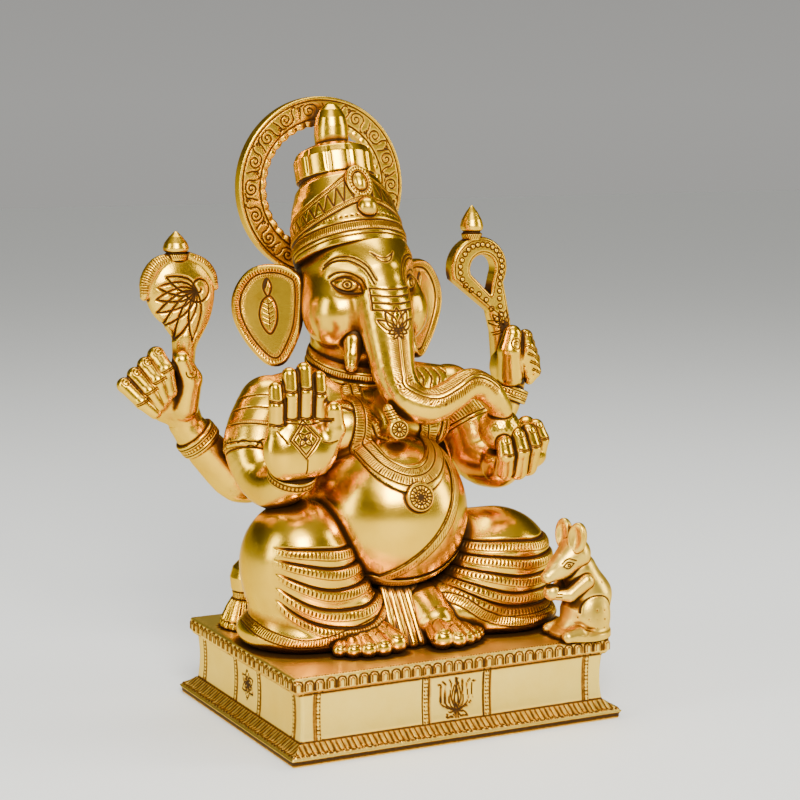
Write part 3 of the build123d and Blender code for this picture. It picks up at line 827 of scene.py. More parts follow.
# ---------------------------------------------------------------- head and trunk
FACE = (-0.05, -0.99, 0.1)
TRUNK = [(-11, 6, 268, 19), (-11, -6, 249, 17), (-11, -13, 229, 14.8), (-10.5, -20, 211, 12.8),
         (-5, -28, 197, 11.6), (6, -33, 193, 10.8), (18, -36, 198, 10.0), (30, -37, 205.5, 9.2),
         (40, -36, 203.5, 8.5), (48, -35, 197, 7.9), (56, -32, 187.5, 7.0)]
trunk_line = smooth_path(TRUNK, 34)
EYES = [(MIDDLE_X - 20.5, 3.5, 264.5), (MIDDLE_X + 19.5, 3.5, 264.5)]
EYE_WAYS = [(-0.62, -0.77, 0.1), (0.62, -0.77, 0.1)]
skull = join(7, egg((MIDDLE_X, 38, 262), (35.5, 37, 38)), egg((MIDDLE_X, 22, 277), (30, 22, 24)),
             egg((MIDDLE_X - 22, 22, 247), (18, 22, 24)), egg((MIDDLE_X + 22, 22, 247), (18, 22, 24)),
             egg((MIDDLE_X, 26, 226), (22, 15, 22)))
face = join(9, skull, limb(*trunk_line, k=1.0))
for eye, way in zip(EYES, EYE_WAYS):
    face = cut(3, face, egg(np.array(eye) + 6.0 * unit(way), (10.5, 6.5, 6.0), way))
    face = join(1.0, face, egg(np.array(eye) - 0.8 * unit(way), (8.6, 5.0, 4.6), way))
neck = limb((MIDDLE_X, 38, 196, 27), (MIDDLE_X, 38, 236, 28))
head_shape = join(4, face, neck)


def head_field(p):
    return head_shape(p) - wobble(p, 0.1)


def eye_marks(eye, way, side):
    """An almond eye with its pupil, its lid and a double brow. side is -1 for the right eye."""
    upper = curve((-10, -0.5), (-6, 3.4), (-0.5, 4.7), (5.5, 2.6), (10, -2.6))
    lower = curve((-10, -0.5), (-5.5, -3.6), (0.5, -4.4), (6, -3.6), (10, -2.6))
    lid = curve((-12, 2.5), (-7.5, 6.3), (-0.5, 7.6), (6.5, 5.4), (11.5, 0.8))
    brow = curve((-16.5, 6.5), (-11, 12.5), (-2, 15.2), (8, 12.2), (15.5, 4.5))
    paths = [upper, lower, lower * (1, 1.12), lid, brow, brow + (0.5, 2.6), arc(0, 0.2, 2.6, 0, 360, 16),
             arc(0, 0.2, 0.7, 0, 360, 8)]
    return drawn(eye, way, (-side * 0.24, 0, 1), [path * (-side * 1.12, 0.95) for path in paths], 0.62, 0.6,
                 18)


trunk_top = fall_on(head_field, [(MIDDLE_X - 1, z) for z in (236, 228, 220, 212)])
stripe = np.vstack([trunk_top[:, :3], [
    (x + 0.5 * nx * r, y - 0.82 * r, z + 0.62 * r) for x, y, z, r, nx in
    ((-6, -27, 199, 11.8, -0.7), (6, -33, 193, 10.8, 0.0), (18, -36, 198, 10.0, 0.0),
     (30, -37, 205.5, 9.2, 0.1), (40, -36, 203.5, 8.5, 0.4), (47, -35, 198, 8.0, 0.6))]])
stripe = smooth_path(stripe, 40)
WRAP = (MIDDLE_X - 1, -12.5, 257)
head_marks = [
    eye_marks(EYES[0], EYE_WAYS[0], -1), eye_marks(EYES[1], EYE_WAYS[1], 1),
    drawn((MIDDLE_X - 1, 0, 281), FACE, (0, 0, 1), [
        curve((-7.5, 3), (-4, -1.5), (0, -3), (4, -1.5), (7.5, 3)), curve((-7.5, 3), (-4, 0.6), (0, -0.6),
            (4, 0.6), (7.5, 3))]),
    drawn(WRAP, FACE, (0, 0, 1), [
        [(-13, 6.5), (-13, -6.5)], [(13, 6.5), (13, -6.5)],
        *[curve((-13, y), (0, y - 1.2), (13, y)) for y in (6.5, 2.2, -2.2, -6.5)]], 0.5, 0.5),
    drawn((MIDDLE_X - 1, -20, 237), FACE, (0, 0, 1), [line + (0, 2) for line in lotus(13)], 0.5, 0.5),
    on(along(stripe, 7.5), groove(1.3, 0.42, 0.45), groove(-1.3, 0.42, 0.45),
       hatch(1.8, 5.6, 1.35, 0.45, 0.34, 0.3), hatch(-5.6, -1.8, 1.35, -0.45, 0.34, 0.3)),
]
sculpt("head_and_trunk", head_field, ["head_casting", "trunk"], 0.82, head_marks,
       box=((-60, -52, 180), (70, 80, 306)))

for name, side, points in (
        ("right_tusk", -1, ((-22, 12, 241, 7.2), (-26.5, 4, 231, 6.4), (-29, 1, 222, 5.2),
                            (-30.5, -1, 216, 3.8))),
        ("left_tusk", 1, ((3, 10, 241, 7.0), (7, 2, 232, 6.2), (9, -1, 225, 4.6)))):
    tusk = limb(*points, k=1.0)
    top, second = np.array(points[0][:3], float), np.array(points[1][:3], float)
    collar = limb((*(top + (second - top) * 0.45), 8.3), (*(top + (second - top) * 0.62), 8.2))
    sculpt(name, join(0.6, tusk, collar), [name], 0.45, [
        on(turning(top, second - top, (0, -1, 0), 8.2, 3, 12), groove(5.2, 0.4, 0.4),
           groove(10.2, 0.45, 0.5), dots(7.0, 1.9, 0.45), dots(8.7, 1.9, 0.45, shift=0.5))], "figure_brass",
           margin=8)


# ---------------------------------------------------------------- ears
EAR_OUTLINE = loop((21, 21), (12, 29), (0, 31), (-12, 28), (-20, 19), (-23.5, 8), (-22, -4), (-16, -16),
                   (-8, -26), (0, -32), (9, -31), (16, -20), (21, -4))
ear_edge = outline(EAR_OUTLINE)


def ear(side):
    """A broad ear swept back from the head: side is -1 for the right one."""
    def thickness(a, b, edge):
        return 2.3 + 2.0 * np.exp(-((edge + 2.4) / 2.3) ** 2)
    centre, facing = (MIDDLE_X + side * 51, 52, 244), (side * 0.55, -0.83, 0.06)
    field = plate(centre, facing, (0, 0, 1), lambda a, b: ear_edge(-side * a, b), thickness, 1.6,
                  bend=-0.006)
    turn = axes_for(facing)

    def guide(p, n):
        a, b, w = ((p - np.array(centre)) @ turn.T).T
        here = (n @ turn[2] > 0.2) & (np.hypot(a, b) < 40)
        return here, np.arctan2(b[here], a[here]) * 26, ear_edge(-side * a[here], b[here])
    leaf = outline(loop((-3, 9), (1, 11), (4, 7), (5, 1), (4, -6), (0, -12), (-4, -8), (-6, -1), (-5, 5)))
    bud = outline(loop((0, 22), (2.4, 17), (0, 11.5), (-2.4, 17)))
    ways = dict(centre=centre, facing=facing, up=(side * 0.1, 0, 1))
    marks = [on(guide, groove(-5.6, 0.55, 0.5), hatch(-4.6, -2.6, 1.7, 0, 0.38, 0.3),
                hatch(-8.0, -6.4, 1.5, 0, 0.3, 0.2)),
             relief(shape=leaf, rise=1.5, **ways), relief(shape=bud, rise=1.3, **ways),
             drawn(centre, facing, (side * 0.1, 0, 1), [
                 [(0, 9), (0, -10)], *[[(0, y), (-3.5, y + 2)] for y in (6, 3, 0, -3, -6)],
                 *[[(0, y), (3, y + 2)] for y in (6, 3, 0, -3, -6)]], 0.35, 0.3)]
    return field, marks


for name, side in (("right_ear", -1), ("left_ear", 1)):
    field, marks = ear(side)
    sculpt(name, field, [name], 0.6, marks, margin=8)

# ---------------------------------------------------------------- crown
CROWN_FOOT, CROWN_AXIS = np.array((MIDDLE_X - 2.5, 37.0, 279.0)), unit((0, 0.43, 0.90))
crown_profile = [(33, -22), (34.8, 0), (35.4, 6), (34.6, 10), (33.2, 22), (30.4, 34), (26.5, 44),
                 (22.5, 49)]
crown_shape = lathe(CROWN_FOOT, CROWN_AXIS, crown_profile, 1.0)


def band_plane(p):
    return -((p - np.array((-11, 1, 293))) @ unit((0, 0.40, 0.917)))


crown_field = common(0.8, crown_shape, band_plane)


def round_crown(p):
    """The angle round the crown from its front, and the height up it."""
    q = p - CROWN_FOOT
    t = q @ CROWN_AXIS
    side = np.cross(CROWN_AXIS, (0, -1, 0))
    ahead = np.cross(side, CROWN_AXIS)
    angle = np.arctan2(q @ side, q @ ahead)
    return angle, t


def sash(angle, low, rise):
    """The height of a sash band that climbs from behind the ears to the jewel."""
    return low + rise * np.exp(-(np.abs(angle) / 0.85) ** 1.6)


def crown_marks(p, n):
    angle, t = round_crown(p)
    s = angle * 33
    band = t - 4.0
    lower, upper = t - sash(angle, 11, 12), t - sash(angle, 25, 21)
    height, dark = np.zeros(len(p)), np.zeros(len(p))
    patterns = (
        (band, groove(0.0, 0.5, 0.5)), (band, groove(6.4, 0.65, 0.8)),
        (band, hatch(0.8, 5.6, 1.2, 0, 0.32, 0.3)), (band, groove(-2.6, 0.4, 0.3)),
        (lower, groove(0, 0.7, 0.9)), (lower, groove(3.4, 0.4, 0.4)),
        (lower, hatch(0.8, 3.0, 1.1, 0.4, 0.3, 0.25)), (lower, ridge(0, 3.6, 0.5)),
        (upper, groove(-3.2, 0.45, 0.45)), (upper, groove(0, 0.6, 0.8)),
        (upper, hatch(-2.8, -0.4, 1.1, 0.4, 0.3, 0.25)), (upper, ridge(-3.4, 0, 0.5)))
    for along_band, pattern in patterns:
        more, darker = pattern(s, along_band)
        height, dark = height + more, np.maximum(dark, darker)
    between = (lower > 4) & (upper < -4)
    more, darker = zigzag(0.0, 1.0, 6.5, 0.38, 0.3)(s[between], 0.5 + 0 * s[between])
    share = (lower[between] - 4) / np.maximum(lower[between] - upper[between] - 8, 1)
    phase = s[between] / 6.5 - np.floor(s[between] / 6.5)
    away = (share - (1 - np.abs(2 * phase - 1))) * 2.2
    line = np.exp(-(away / 0.45) ** 2)
    height[between] -= 0.3 * line
    dark[between] = np.maximum(dark[between], 0.9 * line)
    gap = (band > 7.5) & (lower < -1)
    more, darker = dots(10.0, 3.4, 0.75, 0.5)(s[gap], band[gap])
    height[gap] += more
    dark[gap] = np.maximum(dark[gap], darker)
    return height, dark


sculpt("crown", crown_field, ["crown_casting"], 0.71, [crown_marks], box=((-54, -8, 258), (32, 88, 338)))
DRUM_FOOT = CROWN_FOOT + CROWN_AXIS * 49
DRUM_AXIS = unit((0, 0.30, 0.95))
DRUM_PLEATS = 11


def drum_field(p):
    q = p - DRUM_FOOT
    height = q @ DRUM_AXIS
    side = np.cross(DRUM_AXIS, (0, -1, 0))
    ahead = np.cross(side, DRUM_AXIS)
    angle = np.arctan2(q @ side, q @ ahead)
    turn_share = angle * DRUM_PLEATS / (2 * math.pi)
    pleat = np.exp(-((turn_share - np.round(turn_share)) / 0.11) ** 2) * within(height, 2.5, 18, 1.2)
    return drum_shape(p) + pleat


drum_shape = lathe(DRUM_FOOT, DRUM_AXIS, [(21, -4), (21.6, 1), (23.8, 3), (24.0, 15), (22, 19), (16, 22),
                                          (11, 23)], 1.2)
sculpt("crown_drum", drum_field, ["crown_drum"], 0.6, [
    on(turning(DRUM_FOOT, DRUM_AXIS, (0, -1, 0), 24), groove(2.2, 0.5, 0.6))],
    box=((-44, 26, 312), (20, 98, 360)))
FINIAL_FOOT = DRUM_FOOT + DRUM_AXIS * 21.5 + np.array((0, 0, 2.5))
finial_shape = lathe(FINIAL_FOOT, unit((0, 0.06, 1)), [(9.6, -5), (9.8, 1), (10.3, 7), (9.9, 13), (8.8, 18),
                                                       (6.6, 22.5), (3.2, 25.8), (0.6, 27)], 0.6)
sculpt("crown_finial", finial_shape, ["crown_finial"], 0.6, [
    on(turning(FINIAL_FOOT, (0, 0.06, 1), (0, -1, 0), 10), groove(0.6, 0.4, 0.4))],
       box=((-28, 48, 336), (6, 88, 380)))

JEWEL = CROWN_FOOT + CROWN_AXIS * 37 + np.array((0, -26.5, 12.2))
JEWEL_WAY, JEWEL_UP = (0, -0.87, 0.48), (0, 0.48, 0.87)
jewel_turn = axes_for(JEWEL_WAY, JEWEL_UP)
jewel_rim = plate(JEWEL, JEWEL_WAY, JEWEL_UP,
                  lambda a, b: (np.hypot(a / 8.6, b / 11.4) - 1) * 9.4, 3.4, 1.6)
jewel_field = join(0.4, jewel_rim,
                   egg(JEWEL + 1.6 * unit(JEWEL_WAY), (4.4, 6.6, 4.2), JEWEL_WAY, JEWEL_UP))


def jewel_guide(p, n):
    a, b, w = ((p - JEWEL) @ jewel_turn.T).T
    here = w > 0
    a, b = a[here] / 8.6, b[here] / 11.4
    return here, np.arctan2(b, a) * 8.0, np.hypot(a, b) * 9.4


sculpt("crown_jewel", jewel_field, ["crown_jewel"], 0.4, [
    on(jewel_guide, groove(5.4, 0.5, 0.5), beads(7.3, 2.1, 0.95, 0.7))], "ornament_brass",
       box=((-24, -4, 308), (2, 38, 346)))
BOSS = CROWN_FOOT + CROWN_AXIS * 20 + np.array((0, -32.0, 13.6))
sculpt("crown_boss", ball(BOSS, 6.2), ["crown_boss"], 0.45, [], "ornament_brass", box=(BOSS - 9, BOSS + 9))

# ---------------------------------------------------------------- halo
HALO_CENTRE = (HALO_LOW + HALO_HIGH) / 2
HALO_OUTER = (HALO_HIGH[0] - HALO_LOW[0]) / 2
HALO_INNER = 38.5
halo_middle, halo_half = (HALO_OUTER + HALO_INNER) / 2, (HALO_OUTER - HALO_INNER) / 2
halo_plate = plate(HALO_CENTRE, (0, -1, 0), (0, 0, 1),
                   lambda a, b: np.abs(np.hypot(a, b) - halo_middle) - halo_half, 4.2, 0.9)
SCROLLS = 18


def halo_field(p):
    q = p - HALO_CENTRE
    radius = np.hypot(q[:, 0], q[:, 2])
    angle = np.arctan2(q[:, 2], q[:, 0])
    rim = within(radius, HALO_INNER - 3, HALO_INNER + 3.6, 0.4)
    rope = (np.abs(np.sin(angle * 19 + q[:, 1] * 0.12)) - 0.75) * rim
    return halo_plate(p) - rope


def halo_marks(p, n):
    q = p - HALO_CENTRE
    radius = np.hypot(q[:, 0], q[:, 2])
    angle = np.arctan2(q[:, 2], q[:, 0])
    face = np.abs(n[:, 1]) > 0.6
    height, dark = np.zeros(len(p)), np.zeros(len(p))
    for at, width, depth in ((HALO_OUTER - 2.4, 0.5, 0.5), (HALO_INNER + 4.2, 0.55, 0.6)):
        near = np.exp(-((radius - at) / width) ** 2) * face
        height, dark = height - depth * near, np.maximum(dark, near)
    pitch = 2 * math.pi / SCROLLS
    phase = angle / pitch
    cell = np.round(phase)
    x = (phase - cell) * pitch * halo_middle
    y = radius - (HALO_INNER + 4.4 + HALO_OUTER - 2.4) / 2
    flip = np.where(cell % 2 == 0, 1, -1)
    paths = [curl(0.4, 0.2, 4.4, 235, 1.5, 30), curve((-8.8, 4.2), (-6.4, 4.8), (-4.8, 2.0), (-4.6, -1.6),
                                                      (-2.2, -3.9)),
             curve((3.0, -4.4), (5.4, -3.4), (6.6, 0.4), (8.0, 3.6)), curl(7.2, -3.0, 1.5, 90, 0.9, 12)]
    between_rims = within(radius, HALO_INNER + 4.4, HALO_OUTER - 2.6)
    near = np.exp(-(path_distance(x, y * flip, paths) / 0.5) ** 2) * face * between_rims
    return height - 0.45 * near, np.maximum(dark, near)


sculpt("halo", halo_field, ["halo_ring"], 0.72, [halo_marks], "ornament_brass", margin=3)



# ---------------------------------------------------------------- legs, feet and cloth
def folds(middle_x, middle_y, spread, levels, sag, top):
    """Swags of cloth hung across a knee: a dark fold at each level, with a stitched edge under it."""
    def mark(p, n):
        across = (p[:, 0] - middle_x) / spread
        bend = across ** 2
        level = (p[:, 2] - bend * (2 + sag * top / 50)) / (1 - bend * sag / 50)
        s = np.arctan2(p[:, 0] - middle_x, middle_y - p[:, 1]) * 42
        height, dark = np.zeros(len(p)), np.zeros(len(p))
        here = (n[:, 2] > -0.6) & (p[:, 1] < middle_y - 4) & (bend < 1.6) & (p[:, 2] > SEAT_Z + 3)
        fade = np.clip((1.15 - bend) / 0.35, 0, 1) * np.clip((middle_y - 4 - p[:, 1]) / 10, 0, 1)
        for number, at in enumerate(levels):
            t = at + 0.5 * np.sin(p[:, 0] / 7 + number) - level
            deep = np.exp(-(t / 1.0) ** 2) * fade
            stitches, darker = hatch(2.2, 5.6, 1.7, 0.1, 0.35, 0.35)(s, t)
            edge = np.exp(-((t - 6.6) / 0.4) ** 2) * fade
            height += -2.0 * deep + 1.3 * within(t, 0.6, 7.5, 0.9) * fade + stitches * fade - 0.25 * edge
            dark = np.maximum.reduce([dark, deep, darker * fade, 0.55 * edge])
        return height * here, dark * here
    return mark


def hem(points):
    """The stitched double line along the foot of the cloth."""
    return on(along(smooth_path(points, 30), 8), groove(3.0, 0.45, 0.45), groove(-3.0, 0.45, 0.45),
              hatch(-2.2, 2.2, 1.7, 0.2, 0.32, 0.3))


right_leg_shape = join(
    9, limb((-40, 22, 88, 34), (-70, -6, 104, 33)), egg((-70, -10, 92), (34, 40, 36)),
    limb((-72, -16, 108, 28), (-50, -26, 72, 22)), egg((-64, -6, 60), (43, 16, 40)),
    limb((-36, -26, 66, 16), (-42, -34, 62, 15)))
left_leg_shape = join(
    9, limb((22, 22, 86, 33), (60, -10, 90, 31)), egg((60, -14, 84), (38, 36, 36)),
    limb((66, -18, 92, 27), (34, -30, 70, 20)), egg((60, -14, 57), (42, 12, 40)),
    limb((14, -24, 70, 16), (22, -34, 64, 14)))
right_leg_field = common(1.5, right_leg_shape, above(SEAT_Z))
left_leg_field = common(1.5, left_leg_shape, above(SEAT_Z))


def stand_off(field, path):
    """Points given as x, y and z, moved on to a field's surface."""
    points, _ = settle(field, np.array(path, float), 25)
    return points


right_hem = stand_off(right_leg_field, [(-104, 4, 70), (-98, -24, 62), (-84, -40, 58), (-68, -46, 59),
                                        (-54, -46, 63), (-42, -48, 67), (-30, -46, 70)])
left_hem = stand_off(left_leg_field, [(0, -42, 80), (12, -46, 79), (24, -48, 72), (36, -50, 64),
                                      (52, -52, 59), (70, -50, 58), (86, -42, 59), (98, -26, 61)])
sculpt("right_leg", right_leg_field, ["right_leg"], 0.85, [
    folds(-56, 10, 38, (114, 103, 90, 77, 66), 16, 114), hem(right_hem)])
sculpt("left_leg", left_leg_field, ["left_leg"], 0.9, [
    folds(74, 6, 58, (107, 97, 86, 75, 66), 19, 107), hem(left_hem)])


def foot(ankle, ball_of_foot, toes):
    """A foot with its toes: each toe is x, y and radius, the big toe first."""
    shape = join(8, limb((*ankle, 15), (*ball_of_foot, 12.5)),
                 egg((ball_of_foot[0], ball_of_foot[1] + 3, SEAT_Z + 6), (17, 13, 9)))
    nails = []
    for x, y, radius in toes:
        back = np.array((ball_of_foot[0] * 0.35 + x * 0.65, y + 15, SEAT_Z + 9 + radius * 0.4))
        tip = np.array((x, y, SEAT_Z + radius * 0.95))
        shape = join(1.8, shape, limb((*back, radius * 1.05), (*tip, radius)))
        nails.append(drawn(tip, (0, -0.75, 0.66), (0, 0, 1), [
            arc(0, radius * 0.35, radius * 0.55, 200, 340, 8),
            arc(0, radius * 1.1, radius * 0.6, 20, 160, 8)], 0.28, 0.2, 8))
    return common(0.8, shape, above(SEAT_Z)), nails


right_foot_field, right_nails = foot((-46, -24, 62), (-45, -38, 57), [
    (-28.5, -56, 7.0), (-38.5, -59, 5.8), (-47.5, -58, 5.4), (-55.5, -54.5, 5.0), (-62, -49.5, 4.6)])
left_foot_field, left_nails = foot((3, -30, 70), (5, -42, 63), [
    (0.5, -60.5, 7.2), (9.8, -62.5, 5.7), (17.6, -60, 5.2), (24.4, -56, 4.8), (30, -50.5, 4.4)])
sculpt("right_foot", right_foot_field, ["right_foot"], 0.6, right_nails,
       box=((-72, -70, 48), (-16, -4, 86)))
sculpt("left_foot", left_foot_field, ["left_foot"], 0.6, left_nails, box=((-16, -74, 48), (38, -10, 90)))

pleats_shape = join(1.2, *[limb((x, -30, 84, 3.2), (x * 1.25 + 4, -49 + abs(x + 14) * 0.3, 53, 3.9))
                           for x in
                           (-24, -19, -14, -9, -4)])
sculpt("dhoti_pleats", common(0.6, pleats_shape, above(SEAT_Z)), ["dhoti_pleats"], 0.6, [
    on(lambda p, n: (n[:, 1] < 0, p[n[:, 1] < 0, 0], p[n[:, 1] < 0, 2]),
       hatch(52, 90, 2.6, 0.05, 0.4, 0.3))],
    box=((-36, -58, 48), (6, -16, 92)))


def cloth_end(x, y, side):
    """The gathered end of the waist cloth, tied above and flaring to the plinth."""
    shape = lathe((x, y, SEAT_Z), (-side * 0.05, 0, 1), [
        (17.5, 0), (16.5, 5), (13.5, 12), (10, 19), (11.5, 24), (12.5, 31), (11, 37), (7, 41.5), (0.5, 44)],
                  0.8)

    def field(p):
        angle = np.arctan2(p[:, 1] - y, p[:, 0] - x)
        return shape(p) + 0.7 * np.cos(angle * 22) * within(p[:, 2], SEAT_Z + 1, SEAT_Z + 19, 1.5)
    return field


for name, x, y, side in (("right_cloth_end", -80, 45, -1), ("left_cloth_end", 61, 46, 1)):
    sculpt(name, common(0.5, cloth_end(x, y, side), above(SEAT_Z)), [name], 0.7, [
        on(turning((x, y, SEAT_Z), (0, 0, 1), (0, -1, 0), 12), groove(18.5, 0.5, 0.6), groove(23, 0.5, 0.6),
           hatch(19.2, 22.4, 1.5), groove(5, 0.4, 0.35))])


# ---------------------------------------------------------------- arms
def mirrored(station):
    x, *rest = station
    return (2 * MIDDLE_X - x, *rest)


def ring(name, centre, axis, radius, half_width):
    """A bangle of two rolls with a beaded row between them."""
    shape = lathe(centre, axis, [(radius - 1, -half_width), (radius + 1.3, -half_width + 0.3),
                                 (radius + 1.6, -half_width * 0.5), (radius + 0.7, 0),
                                 (radius + 1.6, half_width * 0.5), (radius + 1.3, half_width - 0.3),
                                 (radius - 1, half_width)], 0.7)
    guide = turning(centre, axis, (0, -1, 0.1), radius + 1, -half_width - 2, half_width + 2)
    reach = radius + half_width + 4
    sculpt(name, shape, [name], 0.5, [
        on(guide, groove(half_width * 0.62, 0.4, 0.4), groove(-half_width * 0.62, 0.4, 0.4),
           beads(0, 2.2, 1.0, 0.8))],
        "ornament_brass", box=(np.array(centre) - reach, np.array(centre) + reach))


RIGHT_SHOULDER, RIGHT_ELBOW = (-72, 30, 190, 19), (-84, 10, 152, 16.5)
front_right = limb(*smooth_path([RIGHT_SHOULDER, (-84, 22, 170, 19), RIGHT_ELBOW, (-83, -6, 147, 13.5),
                                 (-80, -22, 153, 11.5)], 14), k=2)
front_left = limb(*smooth_path([mirrored(RIGHT_SHOULDER), mirrored((-84, 22, 170, 19)),
                                mirrored(RIGHT_ELBOW), (66, -8, 148, 13.5), (66, -18, 151, 12)], 14), k=2)
swirl = [curl(0, 0, 4.4, 200, 1.5), curve((-9, 4), (-5, 6), (0, 5.2)), curve((4, 2), (7, 5), (9, 2)),
         curve((-9, -4), (-4, -6), (3, -5))]
sculpt("front_right_arm", front_right, ["front_right_arm"], 0.85, [
    on(turning((-78, 24, 180), (0.28, 0.45, 0.85), (-0.7, -0.7, 0), 19, -FAR, 16), groove(12, 0.5, 0.6),
       groove(3.5, 0.5, 0.55), groove(-22, 0.5, 0.5))])
sculpt("front_left_arm", front_left, ["front_left_arm"], 0.85, [
    on(turning((58, 24, 180), (-0.28, 0.45, 0.85), (0.7, -0.7, 0), 19, -FAR, 16), groove(12, 0.5, 0.6),
       groove(3.5, 0.5, 0.55), groove(-8, 0.5, 0.5), groove(-10.5, 0.4, 0.4),
       hatch(-7, 2.5, 2.4, 0.3, 0.4, 0.3), hatch(4.5, 11, 2.8, -0.3, 0.4, 0.25))])
armlet_shape = lathe((-82.5, 20, 169), (0.3, 0.35, 0.88), [(19, -7.5), (20.6, -7), (20.9, -3), (20.9, 3),
                                                           (20.6, 7), (19, 7.5)], 0.8)
sculpt("right_armlet", armlet_shape, ["right_armlet"], 0.7, [
    on(turning((-82.5, 20, 169), (0.3, 0.35, 0.88), (-0.7, -0.7, 0), 21, -9, 9), groove(5.6, 0.5, 0.6),
       groove(-5.6, 0.5, 0.6), hatch(6, 7.6, 1.3)),
    *[drawn(np.array((-82.5, 20, 169)) + 21 * unit(way), way, (0.1, 0.1, 1), swirl, 0.5, 0.5, 9, 0.9)
      for way in ((-0.62, -0.78, 0), (-1, 0.1, 0), (-0.1, -1, 0))]], "ornament_brass",
       box=((-110, -8, 150), (-56, 46, 188)))

REAR_RIGHT = [(-50, 52, 182, 15), (-64, 53, 154, 15.5), (-80, 53, 142, 15), (-99, 54, 157, 12.5),
              (-117, 55, 179, 10.2)]
REAR_LEFT = [(30, 52, 182, 15), (44, 53, 156, 15.5), (60, 53, 144, 15), (86, 54, 155, 12.8),
             (104, 55, 171, 10.8), (112, 55, 189, 10)]
sculpt("rear_right_arm", limb(*smooth_path(REAR_RIGHT, 16), k=2), ["rear_right_arm"], 0.9, [
    on(turning((-70, 53, 146), (-1, 0, 0.1), (0, -1, 0), 15, -8, 2), groove(0, 0.5, 0.5),
       groove(-3, 0.5, 0.5))])
sculpt("rear_left_arm", limb(*smooth_path(REAR_LEFT, 16), k=2), ["rear_left_arm"], 0.9)
ring("rear_right_bangle", (-109, 54.5, 169), (-0.64, 0, 0.77), 11.6, 4.2)
ring("rear_left_bangle", (110.5, 54.5, 184), (0.36, 0, 0.93), 11.2, 4.0)
ring("front_right_bangle", (-80, -22, 156), (0.0, -0.45, 0.9), 12.4, 2.8)

# ---------------------------------------------------------------- hands
FINGERS = [(-66.5, 187, 219, 4.6), (-76, 188, 224.5, 4.9), (-85.3, 188, 222, 4.8), (-94.2, 185, 214, 4.4)]
open_palm = join(4, egg((-80, -30, 175), (20.5, 18.5, 10.5)), egg((-70, -32, 170), (13, 14, 10)),
                 egg((-88, -31, 170), (12, 15, 10)), limb((-80, -22, 158, 11), (-80, -26, 166, 13)))
open_hand = join(2.0, open_palm,
                 *[limb((x * 0.97 - 2.3, -31, low, r + 0.3), (x, -32.5, (low + high) / 2, r + 0.1),
                                        (x, -31.5, high - r, r - 0.3), k=0.5)
                   for x, low, high, r in FINGERS])
open_hand = join(3, open_hand, limb((-64, -33, 172, 8), (-58.5, -36, 184, 6.6), (-60, -38, 196, 5.2), k=1))
palm_mid = (-79, -40, 180)
joints = [[(x - 4.5 + 79, z - 180), (x + 79, z - 180.8), (x + 4.5 + 79, z - 180)]
          for x, low, high, r in FINGERS
          for z in (low + 3.4, low + 4.4, (low + high) / 2 + 2.6, (low + high) / 2 + 3.6)]
diamond = [(0, 11), (9.5, 0), (0, -11.5), (-9.5, 0), (0, 11)]
small_diamond = [(x * 0.78, y * 0.78) for x, y in diamond]
flower = [petal(0, 0, 5.0, 3.0, angle) for angle in range(45, 405, 90)] + [arc(0, 0, 1.0, 0, 360, 10)]
gaps = [[(x + 4.75 + 79, low - 176), (x + 4.75 + 79, high - 190)] for x, low, high, r in FINGERS[1:]]
sculpt("front_right_hand", open_hand, ["front_right_hand"], 0.6, [
    drawn(palm_mid, (0, -1, 0), (0, 0, 1), joints + [curve((-17, 8), (-8, 9.5), (4, 8), (16, 9.5)),
                                                   [(1, -12), (1.4, -21)],
                                                     curve((11, -2), (15, -3), (20, -2)),
                                                     curve((-16, 5), (-13, 1), (-11, -2))], 0.42, 0.4, 14),
    drawn(palm_mid, (0, -1, 0), (0, 0, 1), [diamond, small_diamond, *flower], 0.48, 0.5, 14),
    drawn(palm_mid, (0, -1, 0), (0, 0, 1), gaps, 0.8, 0.8, 16),
    ], box=((-110, -52, 146), (-46, -10, 228)))

SWEET, SWEET_RADIUS = (58, -27, 174.5), 13.2
sculpt("laddoo_sweet", ball(SWEET, SWEET_RADIUS), ["laddoo_sweet"], 0.6, [
    lambda p, n: (0.12 * np.sin(p[:, 0] * 1.9) * np.sin(p[:, 1] * 2.1) * np.sin(p[:, 2] * 1.7),
                  np.zeros(len(p)))])
cup = join(5, egg((72, -22, 155), (21, 9.5, 14)), limb((64, -16, 150, 12), (74, -16, 156, 12)),
           egg((84, -16, 164), (9, 12, 11)))
CUPPED = [((57, -35, 150), (54.5, -41, 160), (54, -39.5, 168), 5.3), ((67, -34, 149), (65.5, -40, 162),
    (64, -38, 171.5), 5.6),
          ((77, -29, 150), (76.5, -35, 163), (74.5, -33.5, 172.5), 5.7), ((87, -22, 154), (87, -27.5, 166),
              (84.5, -26, 174), 5.5)]
cup = join(1.0, cup, *[limb((*a, r + 0.4), (*b, r), (*c, r - 0.5), k=1.0) for a, b, c, r in CUPPED])
cup = join(2, cup, limb((90, -8, 162, 7), (88, -8, 172, 6.2), k=0.8))
finger_lines = []
for a, b, c, r in CUPPED:
    middle, tip = np.array(b, float), np.array(c, float)
    finger_lines.append(drawn(middle, (0.1, -1, 0), (0, 0, 1),
                              [[(-4, 1), (0, 0.4), (4, 1)], [(-4, 2), (0, 1.4), (4, 2)]], 0.38, 0.35, 9))
    finger_lines.append(drawn(tip, (0.1, -0.9, 0.3), (0, 0, 1), [arc(0, 0.5, 2.4, 150, 390, 12)], 0.3, 0.25,
                              7))
sculpt("front_left_hand", cup, ["front_left_hand"], 0.6, finger_lines + [
    on(turning((66, -10, 148), (0.1, -0.95, 0.2), (0, 0, -1), 13, -4, 6), groove(0, 0.45, 0.45),
       groove(3, 0.45, 0.45))],
    box=((40, -54, 138), (104, 6, 196)))


